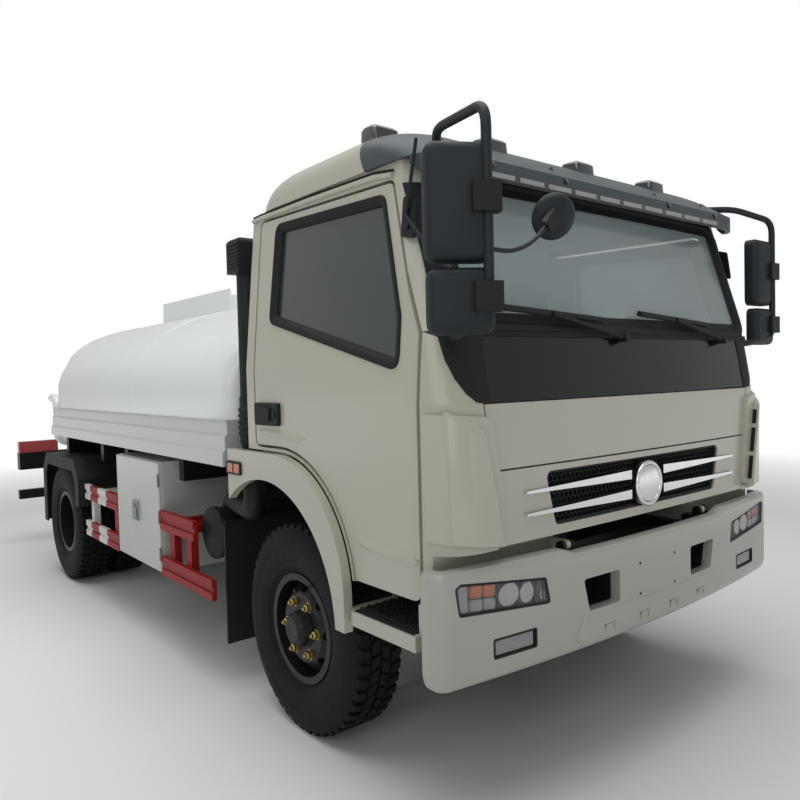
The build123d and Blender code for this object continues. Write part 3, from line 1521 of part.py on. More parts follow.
# Steering knuckles: a fork round the axle's eye with its kingpin, a spindle and a rearward arm
EAR = 34
EAR_GAP = 0.5
ARM_BACK = 120
TIE_PIN_R = 12
EAR_Z = EYE_HEIGHT / 2 + EAR_GAP + EAR / 2
ARM_Z = TYRE_R - EAR_Z
ARM_THICK = 30
KNUCKLE_PLATE = (KINGPIN_X + 46, KINGPIN_X + 76)
with BuildPart() as knuckle_right:
    with Locations(point(-KINGPIN_X, 0, TYRE_R)):
        Cylinder(KINGPIN_R, 2 * EAR_Z)
    for sign in (-1, 1):
        with Locations(point(-KINGPIN_X, 0, TYRE_R + sign * EAR_Z)):
            Cylinder(EYE_R + 4, EAR)
        block(
            (-KINGPIN_X, -KNUCKLE_PLATE[1]),
            (-EYE_R, EYE_R),
            (TYRE_R + sign * EAR_Z - EAR / 2, TYRE_R + sign * EAR_Z + EAR / 2),
        )
    block((-KNUCKLE_PLATE[0], -KNUCKLE_PLATE[1]), (-EYE_R, EYE_R), (TYRE_R - EAR_Z, TYRE_R + EAR_Z))
    with BuildSketch(side_at(-KNUCKLE_PLATE[1])):
        with Locations((0, TYRE_R)):
            Circle(SPINDLE_R)
    extrude(amount=FRONT_TYRE_X + 88 - KNUCKLE_PLATE[1])
    with BuildSketch(plan_at(ARM_Z - ARM_THICK / 2)):
        with BuildLine():
            Polyline(
                (-KINGPIN_X - 24, -10),
                (-KINGPIN_X + 24, -10),
                (-KINGPIN_X + 22, -ARM_BACK),
                (-KINGPIN_X - 22, -ARM_BACK),
                close=True,
            )
        make_face()
        with Locations((-KINGPIN_X, -ARM_BACK)):
            Circle(26)
    extrude(amount=ARM_THICK, dir=(0, 0, 1))
    with Locations(point(-KINGPIN_X, -ARM_BACK, ARM_Z)):
        Cylinder(TIE_PIN_R + RUNNING, 2 * ARM_THICK, mode=Mode.SUBTRACT)
save(knuckle_right.part, "knuckle_right")
knuckle_left = mirror(knuckle_right.part, about=Plane.YZ)
save(knuckle_left, "knuckle_left")

TIE_Z = ARM_Z - ARM_THICK / 2 - 24
tie_bar = round_bar(point(-KINGPIN_X - 20, -ARM_BACK, TIE_Z), point(KINGPIN_X + 20, -ARM_BACK, TIE_Z), 16)
with BuildPart() as tie_rod:
    add(tie_bar)
    for sign in (-1, 1):
        with Locations(point(sign * KINGPIN_X, -ARM_BACK, (TIE_Z + ARM_Z + ARM_THICK / 2) / 2)):
            Cylinder(TIE_PIN_R, ARM_Z + ARM_THICK / 2 - TIE_Z)
save(tie_rod.part, "tie_rod")


# Wheels and tyres, drawn as half sections: distance outboard of the tyre's middle, radius
def axle_section(x, forward):
    """Sketch plane through a wheel's axis on the right-hand side: outboard across, radius up."""
    return Plane(origin=point(x, forward, TYRE_R), x_dir=(-1, 0, 0), z_dir=(0, 1, 0))


def axle_line(forward):
    """Axis of a wheel."""
    return Axis(point(0, forward, TYRE_R), (1, 0, 0))


RIM_WALL = 9
FLANGE_RISE = 19
TREAD_HALF = 92


def rim_outline(middle):
    """Half section of a rim whose middle lies outboard by middle."""
    outline = (
        (-RIM_HALF, RIM_R + FLANGE_RISE),
        (-RIM_HALF + RIM_WALL, RIM_R + FLANGE_RISE),
        (-RIM_HALF + RIM_WALL, RIM_R),
        (RIM_HALF - RIM_WALL, RIM_R),
        (RIM_HALF - RIM_WALL, RIM_R + FLANGE_RISE),
        (RIM_HALF, RIM_R + FLANGE_RISE),
        (RIM_HALF, RIM_R - RIM_WALL),
        (-RIM_HALF, RIM_R - RIM_WALL),
    )
    return [(middle + across, radius) for across, radius in outline]


def tyre(x, forward):
    """One tyre on the right-hand side, its middle at x."""
    bead = RIM_HALF - RIM_WALL - TOUCH
    foot = RIM_R + TOUCH
    half = TYRE_WIDTH / 2
    with BuildPart() as ring:
        with BuildSketch(axle_section(x, forward)):
            with BuildLine():
                Line((-bead, foot), (bead, foot))
                Line((bead, foot), (bead, RIM_R + FLANGE_RISE + 2))
                ThreePointArc(
                    (bead, RIM_R + FLANGE_RISE + 2),
                    (half, RIM_R + 0.52 * (TYRE_R - RIM_R)),
                    (TREAD_HALF + 8, TYRE_R - 14),
                )
                Line((TREAD_HALF + 8, TYRE_R - 14), (TREAD_HALF - 8, TYRE_R))
                Line((TREAD_HALF - 8, TYRE_R), (-TREAD_HALF + 8, TYRE_R))
                Line((-TREAD_HALF + 8, TYRE_R), (-TREAD_HALF - 8, TYRE_R - 14))
                ThreePointArc(
                    (-TREAD_HALF - 8, TYRE_R - 14),
                    (-half, RIM_R + 0.52 * (TYRE_R - RIM_R)),
                    (-bead, RIM_R + FLANGE_RISE + 2),
                )
                Line((-bead, RIM_R + FLANGE_RISE + 2), (-bead, foot))
            make_face()
        revolve(axis=axle_line(forward))
    return ring.part


tyre_front_right = tyre(-FRONT_TYRE_X, 0)
save(tyre_front_right, "tyre_front_right")
tyre_front_left = mirror(tyre_front_right, about=Plane.YZ)
save(tyre_front_left, "tyre_front_left")

VENTS = 8
VENT_R = 24
HUB_R = 78
with BuildPart() as wheel_front_right:
    with BuildSketch(axle_section(-FRONT_TYRE_X, 0)):
        with BuildLine():
            Polyline(*rim_outline(0), close=True)
        make_face()
        with BuildLine():
            Polyline(
                (20, RIM_R - RIM_WALL + 2),
                (36, RIM_R - RIM_WALL + 2),
                (84, 140),
                (84, SPINDLE_R + RUNNING),
                (0, SPINDLE_R + RUNNING),
                (0, HUB_R),
                (68, HUB_R),
                (68, 132),
                close=True,
            )
        make_face()
        with BuildLine():
            Polyline(
                (84, 0),
                (84, HUB_R),
                (118, HUB_R - 12),
                (134, HUB_R - 26),
                (134, 0),
                close=True,
            )
        make_face()
    revolve(axis=axle_line(0))
    with BuildSketch(side_at(-FRONT_TYRE_X - 10)):
        with Locations((0, TYRE_R)):
            with PolarLocations((RIM_R + 132) / 2, VENTS):
                Circle(VENT_R)
    extrude(amount=80, mode=Mode.SUBTRACT)
    with Locations(Location(point(-FRONT_TYRE_X - 46, 0, TYRE_R), (0, 90, 0))):
        Cylinder(SPINDLE_R + RUNNING, 92, mode=Mode.SUBTRACT)
save(wheel_front_right.part, "wheel_front_right")
wheel_front_left = mirror(wheel_front_right.part, about=Plane.YZ)
save(wheel_front_left, "wheel_front_left")

twin_outer = tyre(-REAR_TYRE_X, REAR_AXLE)
twin_inner = tyre(-REAR_TYRE_X + TWIN_PITCH, REAR_AXLE)
with BuildPart() as tyres_rear_right:
    add(twin_outer)
    add(twin_inner)
save(tyres_rear_right.part, "tyres_rear_right")
tyres_rear_left = mirror(tyres_rear_right.part, about=Plane.YZ)
save(tyres_rear_left, "tyres_rear_left")

TWIN_MIDDLE = REAR_TYRE_X - TWIN_PITCH / 2
DISC = 14
with BuildPart() as wheels_rear_right:
    with BuildSketch(axle_section(-TWIN_MIDDLE, REAR_AXLE)):
        for sign in (-1, 1):
            with BuildLine():
                Polyline(*rim_outline(sign * TWIN_PITCH / 2), close=True)
            make_face()
            with BuildLine():
                Polyline(
                    (sign * 76, RIM_R - RIM_WALL + 2),
                    (sign * 62, RIM_R - RIM_WALL + 2),
                    (0, 138),
                    (0, REAR_SPINDLE_R + RUNNING),
                    (sign * DISC, REAR_SPINDLE_R + RUNNING),
                    (sign * DISC, 136),
                    close=True,
                )
            make_face()
        with BuildLine():
            Polyline(
                (-58, REAR_SPINDLE_R + RUNNING),
                (-58, 92),
                (96, 92),
                (112, 70),
                (118, 70),
                (118, 0),
                (106, 0),
                (106, REAR_SPINDLE_R + RUNNING),
                close=True,
            )
        make_face()
    revolve(axis=axle_line(REAR_AXLE))
    with BuildSketch(side_at(-TWIN_MIDDLE + 80)):
        with Locations((REAR_AXLE, TYRE_R)):
            with PolarLocations((RIM_R + 138) / 2, VENTS):
                Circle(VENT_R)
    extrude(amount=160, mode=Mode.SUBTRACT)
save(wheels_rear_right.part, "wheels_rear_right")
wheels_rear_left = mirror(wheels_rear_right.part, about=Plane.YZ)
save(wheels_rear_left, "wheels_rear_left")
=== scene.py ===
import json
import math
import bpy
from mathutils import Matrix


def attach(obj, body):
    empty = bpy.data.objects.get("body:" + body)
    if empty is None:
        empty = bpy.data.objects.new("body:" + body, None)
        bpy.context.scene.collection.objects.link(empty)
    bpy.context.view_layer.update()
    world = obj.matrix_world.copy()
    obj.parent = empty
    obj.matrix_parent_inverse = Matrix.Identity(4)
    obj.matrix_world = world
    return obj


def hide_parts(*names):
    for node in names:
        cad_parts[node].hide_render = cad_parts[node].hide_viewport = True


bl_info = {
    "name": "Tank truck finish",
    "version": (1, 0, 0),
    "blender": (4, 5, 0),
    "location": "View3D > Sidebar > Truck",
    "description": "Dresses the packed tank truck with its finishes and fittings",
    "category": "Object",
}

import bmesh
import bpy
from bpy.props import FloatProperty, FloatVectorProperty, IntProperty, PointerProperty
from mathutils import Matrix, Vector

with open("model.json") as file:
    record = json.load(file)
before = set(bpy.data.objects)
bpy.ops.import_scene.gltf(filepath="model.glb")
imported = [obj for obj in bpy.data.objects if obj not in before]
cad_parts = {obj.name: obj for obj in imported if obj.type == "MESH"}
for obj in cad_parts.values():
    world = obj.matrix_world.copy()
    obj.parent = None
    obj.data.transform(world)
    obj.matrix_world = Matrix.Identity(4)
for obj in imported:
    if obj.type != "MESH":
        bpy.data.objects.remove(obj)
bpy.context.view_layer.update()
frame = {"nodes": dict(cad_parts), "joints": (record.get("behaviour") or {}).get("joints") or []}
JOINTS = {joint["name"]: joint for joint in frame["joints"]}

# Places are metres: x to the truck's left, forward of the front axle, and z above the ground.
AXLE_Y = JOINTS["steer"]["pos_m"][1]
REAR_AXLE = AXLE_Y - JOINTS["spin_rear_right"]["pos_m"][1]
AXLE_Z = JOINTS["spin_front_right"]["pos_m"][2]
TYRE_R = AXLE_Z
FRONT_TYRE_X = -JOINTS["spin_front_right"]["pos_m"][0]
TWIN_MIDDLE = -JOINTS["spin_rear_right"]["pos_m"][0]
TWIN_PITCH = 0.285
REAR_TYRE_X = TWIN_MIDDLE + TWIN_PITCH / 2

BUMPER_HALF, BUMPER_REACH, BUMPER_BOW = 1.063, 1.034, 0.072
BUMPER_CORNER, BUMPER_END, BUMPER_WALL = 0.062, 0.885, 0.040
BUMPER_TOP, RAIL_X, RAIL_END = 0.857, 0.385, 0.890
CAB_HALF, CAB_TOP_HALF, BELT_Z, CAB_TOP = 1.035, 0.975, 1.5, 2.15
NOSE_REACH, NOSE_BOW, NOSE_CORNER = 0.983, 0.024, 0.17
SCREEN_BASE, SCREEN_REACH, SCREEN_LEAN = 1.59, 0.945, 0.268
TANK_HALF, TANK_RISE, TANK_Z = 0.935, 0.375, 1.555
WINDOW = ((-0.07, 1.688), (-0.055, 2.072), (0.652, 2.045), (0.765, 1.64), (0.765, 1.478))
SCREEN = ((-0.915, 1.606), (-0.872, 2.118), (0.872, 2.118), (0.915, 1.606))
HEADLAMP = ((0.602, 0.687), (0.985, 0.716), (1.0, 0.806), (0.978, 0.818), (0.622, 0.778))
TOW_OPENING = ((0.242, 0.62), (0.412, 0.62), (0.44, 0.736), (0.242, 0.736))
FOG_LAMP = ((0.669, 0.556), (0.856, 0.556), (0.856, 0.622), (0.669, 0.622))
HEADLAMP_R, TOW_R, FOG_R = 0.012, 0.012, 0.010
SIDE_SHARE = 0.45  # most of a side that a rounded corner takes
SHARP_EDGE = 0.6  # angle in radians from which an edge is softened
ORIGIN, AHEAD, UP = Vector((0, 0, 0)), Vector((0, -1, 0)), Vector((0, 0, 1))


def at(x, forward, z):
    """Place in the row frame."""
    return Vector((x, AXLE_Y - forward, z))


def side_x(z):
    """Half width of the cab's side at a height."""
    return CAB_HALF - (CAB_HALF - CAB_TOP_HALF) * max(0.0, (z - BELT_Z) / (CAB_TOP - BELT_Z))


def bow(x, half, depth):
    """How far a bowed front lies back at x."""
    radius = (half**2 + depth**2) / (2 * depth)
    return radius - math.sqrt(radius**2 - x**2)


def bumper_at(x, z, proud=0.0):
    """Place on the bumper's face."""
    return at(x, BUMPER_REACH - bow(x, BUMPER_HALF, BUMPER_BOW) + proud, z)


def nose_at(x, z, proud=0.0):
    """Place on the cab's nose, with its rounded corners."""
    flat_end = CAB_HALF - NOSE_CORNER
    reach = NOSE_REACH - bow(min(abs(x), flat_end), CAB_HALF, NOSE_BOW)
    if abs(x) > flat_end:
        across = min(abs(x) - flat_end, NOSE_CORNER)
        reach += math.sqrt(NOSE_CORNER**2 - across**2) - NOSE_CORNER
    return at(x, reach + proud, z)


def screen_at(x, z, proud=0.0):
    """Place on the windscreen's opening."""
    back = SCREEN_LEAN * (z - SCREEN_BASE) + bow(x, CAB_HALF, NOSE_BOW)
    return at(x, SCREEN_REACH - back + proud, z)


def angles(steps, first=0.0):
    """Equal steps round a full turn."""
    return [first + 2 * math.pi * step / steps for step in range(steps)]


def curve(start, corner, end, steps):
    """Places on the bend from start to end that a corner pulls towards itself."""
    shares = [step / steps for step in range(steps + 1)]
    return [(1 - s) ** 2 * start + 2 * s * (1 - s) * corner + s**2 * end for s in shares]


def rounded(corners, radius, steps=6):
    """Closed flat outline with its corners rounded."""
    outline = []
    for index, corner in enumerate(corners):
        here = Vector(corner)
        before = Vector(corners[index - 1]) - here
        after = Vector(corners[(index + 1) % len(corners)]) - here
        cut = radius / math.tan(before.angle(after) / 2)
        start = here + before.normalized() * min(cut, SIDE_SHARE * before.length)
        end = here + after.normalized() * min(cut, SIDE_SHARE * after.length)
        outline += curve(start, here, end, steps)
    return outline


def oblong(left, low, right, high, radius, steps=6):
    """Rounded rectangle between two corners."""
    return rounded([(left, low), (right, low), (right, high), (left, high)], radius, steps)


def dense(outline, step=0.06):
    """Closed outline with places added along its long sides, so that it can follow a bowed surface."""
    filled = []
    for here, after in zip(outline, outline[1:] + outline[:1]):
        parts = math.ceil((after - here).length / step)
        filled += [here.lerp(after, part / parts) for part in range(parts)]
    return filled


def bent(places, radius, steps=6):
    """Open path through places with its corners rounded."""
    path = [places[0]]
    for before, here, after in zip(places, places[1:], places[2:]):
        start, end = (
            here + (there - here).normalized() * min(radius, SIDE_SHARE * (there - here).length)
            for there in (before, after)
        )
        path += curve(start, here, end, steps)
    return [*path, places[-1]]


def grown(outline, distance):
    """Closed flat outline moved outwards."""
    area = sum(a.x * b.y - b.x * a.y for a, b in zip(outline, outline[1:] + outline[:1]))
    turn = distance if area > 0 else -distance
    moved = []
    for index, here in enumerate(outline):
        along = (outline[(index + 1) % len(outline)] - outline[index - 1]).normalized()
        moved.append(here + Vector((along.y, -along.x)) * turn)
    return moved


class Shape:
    """Mesh under construction in the row frame, made of closed forms."""

    def __init__(self):
        self.mesh = bmesh.new()

    def loft(self, rings, looped=False):
        """Skin through rings of equally many places; looped joins the last ring to the first."""
        rows = [[self.mesh.verts.new(place) for place in ring] for ring in rings]
        for near, far in zip(rows, rows[1:] + (rows[:1] if looped else [])):
            for index in range(len(near)):
                after = (index + 1) % len(near)
                self.mesh.faces.new((near[index], near[after], far[after], far[index]))
        if not looped:
            self.mesh.faces.new(rows[0][::-1])
            self.mesh.faces.new(rows[-1])
        return self

    def block(self, low, high):
        """Box between two corners."""
        corners = ((low.x, low.y), (high.x, low.y), (high.x, high.y), (low.x, high.y))
        return self.loft([[Vector((x, y, z)) for x, y in corners] for z in (low.z, high.z)])

    def lathe(self, profile, centre, axis, steps=32, looped=False):
        """Profile of (distance along, radius) turned about an axis."""
        along = axis.normalized()
        side = along.orthogonal().normalized()
        up = along.cross(side)
        spokes = [side * math.cos(t) + up * math.sin(t) for t in angles(steps)]
        rings = []
        for distance, radius in profile:
            middle = centre + along * distance
            rings.append([middle + spoke * radius for spoke in spokes])
        return self.loft(rings, looped)

    def bar(self, start, end, radius, steps=14):
        """Round bar between two places."""
        return self.lathe([(0, radius), ((end - start).length, radius)], start, end - start, steps)

    def tube(self, places, radius, steps=10):
        """Round tube through places."""
        rings = []
        side = None
        for index, place in enumerate(places):
            along = (places[min(index + 1, len(places) - 1)] - places[max(index - 1, 0)]).normalized()
            side = along.orthogonal() if side is None else side - along * side.dot(along)
            side.normalize()
            up = along.cross(side)
            rings.append([place + (side * math.cos(t) + up * math.sin(t)) * radius for t in angles(steps)])
        return self.loft(rings)

    def rim(self, outline, section, to_place):
        """Closed moulding round an outline: section of (outwards, proud), to_place maps onto the surface."""
        loops = [(grown(outline, out), proud) for out, proud in section]
        return self.loft([[to_place(p.x, p.y, proud) for p in loop] for loop, proud in loops], looped=True)

    def plate(self, outline, back, front, to_place):
        """Closed plate with an outline, between two depths of a surface."""
        return self.loft([[to_place(p.x, p.y, proud) for p in outline] for proud in (back, front)])

    def cut(self, tool):
        """Takes another shape's forms away."""
        objects = []
        for shape in (self, tool):
            bmesh.ops.recalc_face_normals(shape.mesh, faces=shape.mesh.faces)
            objects.append(bpy.data.objects.new("blank", bpy.data.meshes.new("blank")))
            shape.mesh.to_mesh(objects[-1].data)
            shape.mesh.free()
            bpy.context.scene.collection.objects.link(objects[-1])
        modifier = objects[0].modifiers.new("cut", "BOOLEAN")
        modifier.operation = "DIFFERENCE"
        modifier.solver = "EXACT"
        modifier.object = objects[1]
        evaluated = objects[0].evaluated_get(bpy.context.evaluated_depsgraph_get())
        self.mesh = bmesh.new()
        self.add(bpy.data.meshes.new_from_object(evaluated))
        for item in objects:
            bpy.data.objects.remove(item)
        return self

    def add(self, mesh, matrix=None):
        """Takes in a finished mesh."""
        if matrix is not None:
            mesh.transform(matrix)
        self.mesh.from_mesh(mesh)
        bpy.data.meshes.remove(mesh)
        return self

    def mirrored(self):
        """Adds the same forms on the other side of the truck."""
        cells = self.mesh.verts[:] + self.mesh.edges[:] + self.mesh.faces[:]
        copy = bmesh.ops.duplicate(self.mesh, geom=cells)
        for vert in (item for item in copy["geom"] if isinstance(item, bmesh.types.BMVert)):
            vert.co.x = -vert.co.x
        self.mesh.normal_update()
        return self

    def done(self, name, finish, body, slot, soften=0.0, smooth=40):
        """The finished piece in a named finish, riding on a body."""
        if soften:
            closed = [edge for edge in self.mesh.edges if edge.is_manifold]
            sharp = [edge for edge in closed if edge.calc_face_angle(0) > SHARP_EDGE]
            bmesh.ops.bevel(
                self.mesh, geom=sharp, offset=soften, segments=2, affect="EDGES", clamp_overlap=True
            )
        bmesh.ops.recalc_face_normals(self.mesh, faces=self.mesh.faces)
        mesh = bpy.data.meshes.new(name)
        self.mesh.to_mesh(mesh)
        self.mesh.free()
        mesh.materials.clear()
        mesh.materials.append(FINISHES[finish])
        mesh.shade_smooth()
        mesh.set_sharp_from_angle(angle=math.radians(smooth))
        piece = bpy.data.objects.new(name, mesh)
        bpy.context.scene.collection.objects.link(piece)
        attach(piece, body)
        return piece


class Signal:
    """A node's socket that joins in Python expressions, each operation adding its Math node."""

    def __init__(self, tree, socket):
        self.tree = tree
        self.socket = socket

    def node(self, kind, settings=None, inputs=None, output=0):
        """One new node with its settings and inputs, and the output that is asked for."""
        made = self.tree.nodes.new(kind)
        for key, value in (settings or {}).items():
            setattr(made, key, value)
        for key, value in (inputs or {}).items():
            if isinstance(value, Signal):
                self.tree.links.new(value.socket, made.inputs[key])
            else:
                made.inputs[key].default_value = value
        return Signal(self.tree, made.outputs[output])

    def maths(self, operation, *values):
        """Math node on values."""
        return self.node("ShaderNodeMath", {"operation": operation}, dict(enumerate(values)))

    def __add__(self, other):
        return self.maths("ADD", self, other)

    def __sub__(self, other):
        return self.maths("SUBTRACT", self, other)

    def __rsub__(self, other):
        return self.maths("SUBTRACT", other, self)

    def __mul__(self, other):
        return self.maths("MULTIPLY", self, other)

    def __truediv__(self, other):
        return self.maths("DIVIDE", self, other)

    def __gt__(self, other):
        return self.maths("GREATER_THAN", self, other)

    def __lt__(self, other):
        return self.maths("LESS_THAN", self, other)

    __radd__ = __add__
    __rmul__ = __mul__

    def held(self):
        """The value kept between 0 and 1."""
        return self.maths("MINIMUM", self.maths("MAXIMUM", self, 0.0), 1.0)

    def sine(self, pitch):
        """Sine of the value times a pitch."""
        return self.maths("SINE", self * pitch)

    def size(self):
        """The value without its sign."""
        return self.maths("ABSOLUTE", self)

    def mixed(self, first, second):
        """Colour between two, with this value as the share of the second."""
        return self.node("ShaderNodeMix", {"data_type": "RGBA"}, {0: self, 6: first, 7: second}, 2)


def shade(tone, factor=1.0, lift=0.0):
    """Opaque colour, a tone made darker or lighter."""
    return (*(value * factor + lift for value in tone[:3]), 1.0)


class Finish:
    """A material under construction, with its surface and the place on the object."""

    def __init__(self, name, **values):
        self.material = bpy.data.materials.new(name)
        self.material.use_nodes = True
        self.tree = self.material.node_tree
        self.surface = self.tree.nodes["Principled BSDF"]
        self.place = Signal(self.tree, self.tree.nodes.new("ShaderNodeTexCoord").outputs["Object"])
        for key, value in values.items():
            self.set(key.replace("_", " ").title().replace("Ior", "IOR"), value)

    def set(self, socket, value):
        """Sets a socket of the surface, or links a signal to it."""
        if isinstance(value, Signal):
            self.tree.links.new(value.socket, self.surface.inputs[socket])
        else:
            self.surface.inputs[socket].default_value = value

    def noise(self, scale, detail=3.0):
        """Cloudy value between 0 and 1."""
        inputs = {"Vector": self.place, "Scale": scale, "Detail": detail}
        return self.place.node("ShaderNodeTexNoise", {}, inputs)

    def along(self, letter):
        """One coordinate of the place."""
        return self.place.node("ShaderNodeSeparateXYZ", {}, {0: self.place}, "XYZ".index(letter))

    def relief(self, height, distance):
        """Bump from a height."""
        self.set("Normal", height.node("ShaderNodeBump", {}, {"Height": height, "Distance": distance}))

    def grime(self, reach=0.9):
        """Road dirt, strongest near the ground and patchy."""
        low = ((reach - self.along("Z")) / reach).held()
        return ((low * 0.55 + 0.10) * (self.noise(2.3, 5.0) * 1.5)).held()


DUST = (0.23, 0.21, 0.18, 1.0)
PLASTIC_DUST = (0.040, 0.038, 0.034, 1.0)
TYRE_BLACK, TYRE_DUST = (0.004, 0.0045, 0.005, 1.0), (0.020, 0.019, 0.017, 1.0)
GUARD_BANDS, GUARD_BAND_HALF = (0.56, 0.90, -0.02), 0.085
LENS_RIBS, WEAVE = 700.0, 1400.0


def paint(name, tone, dirt=0.5, rough=0.26, shine=0.5):
    """Sprayed paint under clear coat, with fine peel and road dust."""
    finish = Finish(name, coat_weight=shine, coat_roughness=0.08, specular_ior_level=shine)
    grime = finish.grime() * dirt
    base = (finish.noise(0.9) * 0.12).mixed(shade(tone), shade(tone, 0.86))
    finish.set("Base Color", grime.mixed(base, DUST))
    finish.set("Roughness", grime * 0.4 + finish.noise(35.0) * 0.06 + rough)
    finish.relief(finish.noise(190.0, 2.0), 0.00025)
    return finish.material


def moulding(name, tone, rough=0.5):
    """Moulded plastic with a fine grain and pale dust."""
    finish = Finish(name, specular_ior_level=0.3)
    grime = finish.grime() * 0.4
    base = (finish.noise(3.0) * 0.35).mixed(shade(tone), shade(tone, 1.4, 0.001))
    finish.set("Base Color", grime.mixed(base, PLASTIC_DUST))
    finish.set("Roughness", grime * 0.3 + finish.noise(12.0) * 0.15 + rough)
    finish.relief(finish.noise(420.0, 2.0), 0.0006)
    return finish.material


def metal(name, tone, rough, brushed=0.0):
    """Bare or plated metal with faint stains."""
    finish = Finish(name, metallic=1.0)
    stain = finish.noise(24.0, 4.0)
    finish.set("Base Color", (stain * 0.4).mixed(shade(tone), shade(tone, 0.6)))
    finish.set("Roughness", stain * 0.12 + rough)
    if brushed:
        finish.relief(finish.noise(300.0, 2.0), brushed)
    return finish.material


def lens(name, tone, alpha=1.0, ribs=0.0):
    """Lamp lens, ribbed inside."""
    finish = Finish(name, roughness=0.08, coat_weight=1.0, coat_roughness=0.03, alpha=alpha)
    finish.set("Base Color", (finish.noise(30.0) * 0.4).mixed(shade(tone), shade(tone, 0.55)))
    if ribs:
        finish.relief(finish.along("X").sine(ribs) * finish.along("Z").sine(ribs), 0.0015)
    return finish.material


def window_glass(name, tone, alpha):
    """Pane with a tone painted on it that thins in patches: a pale tone is a painted sky reflection, a dark
    one is painted shade from the cab's inside.
    """
    finish = Finish(name, roughness=0.03, coat_weight=1.0, coat_roughness=0.02)
    finish.set("Base Color", (finish.noise(1.1) * 0.5).mixed(shade(tone), shade(tone, 0.6)))
    finish.set("Alpha", finish.noise(1.4) * 0.12 + alpha)
    return finish.material


def rubber(name):
    """Tyre rubber with a fine grain and patches of dust."""
    finish = Finish(name, specular_ior_level=0.18)
    grime = (finish.noise(9.0, 5.0) * finish.noise(1.6)).held()
    finish.set("Base Color", grime.mixed(TYRE_BLACK, TYRE_DUST))
    finish.set("Roughness", finish.noise(40.0) * 0.2 + 0.55)
    finish.relief(finish.noise(260.0), 0.0006)
    return finish.material


def guard_paint(name, red, white):
    """Red guard rail with white bands along it."""
    finish = Finish(name, specular_ior_level=0.2)
    along = finish.along("Y")
    band = None
    for middle in GUARD_BANDS:
        inside = (along - middle).size() < GUARD_BAND_HALF
        band = inside if band is None else band.maths("MAXIMUM", band, inside)
    grime = finish.grime() * 0.10
    finish.set("Base Color", grime.mixed(band.mixed(shade(red), shade(white)), DUST))
    finish.set("Roughness", grime * 0.4 + 0.42)
    finish.relief(finish.noise(150.0, 2.0), 0.0003)
    return finish.material


def cloth(name, tone):
    """Woven seat cloth."""
    finish = Finish(name, sheen_weight=0.3)
    weave = finish.along("X").sine(WEAVE) * (finish.along("Z") + finish.along("Y")).sine(WEAVE)
    finish.set("Base Color", (weave * 0.3 + 0.4).held().mixed(shade(tone), shade(tone, 1.7)))
    finish.set("Roughness", finish.noise(20.0) * 0.1 + 0.82)
    finish.relief(weave, 0.0006)
    return finish.material


def colour(name, description, default):
    """Colour that the panel offers."""
    return FloatVectorProperty(name=name, description=description, subtype="COLOR", default=default)


def measure(name, description, default, least):
    """Length that the panel offers."""
    return FloatProperty(name=name, description=description, default=default, unit="LENGTH", min=least)


class TruckPaint(bpy.types.PropertyGroup):
    """Colours that a fleet would change."""

    cab: colour("Cab", "Paint of cab and fenders", (0.49, 0.48, 0.40))
    bumper: colour("Bumper", "Paint of the bumper", (0.425, 0.438, 0.385))
    tank: colour("Tank", "Paint of the tank", (0.86, 0.90, 0.90))
    # The bed's tone is the tank's paint darkened by about 0.6: painted shade for the skirt under the tank.
    bed: colour("Bed", "Paint of the bed round the tank", (0.52, 0.55, 0.55))
    cabinet: colour("Cabinet", "Paint of the tool cabinet", (0.56, 0.59, 0.56))
    guard: colour("Guards", "Red of the side guards", (0.30, 0.010, 0.011))
    visor: colour("Visor", "Plastic of the roof visor", (0.060, 0.075, 0.085))


class TruckFittings(bpy.types.PropertyGroup):
    """Sizes of repeated fittings."""

    lugs: IntProperty(name="Tread lugs", description="Lugs round each tyre", default=46, min=20, max=80)
    lug_depth: measure("Tread depth", "Height of a lug", 0.014, 0.004)
    nuts: IntProperty(name="Wheel nuts", description="Nuts on each wheel", default=6, min=4, max=12)
    nut_circle: measure("Nut circle", "Radius of the ring of nuts", 0.111, 0.05)
    mesh_pitch: measure("Grille mesh", "Across one cell of the grille", 0.024, 0.01)


FINISHES = {}


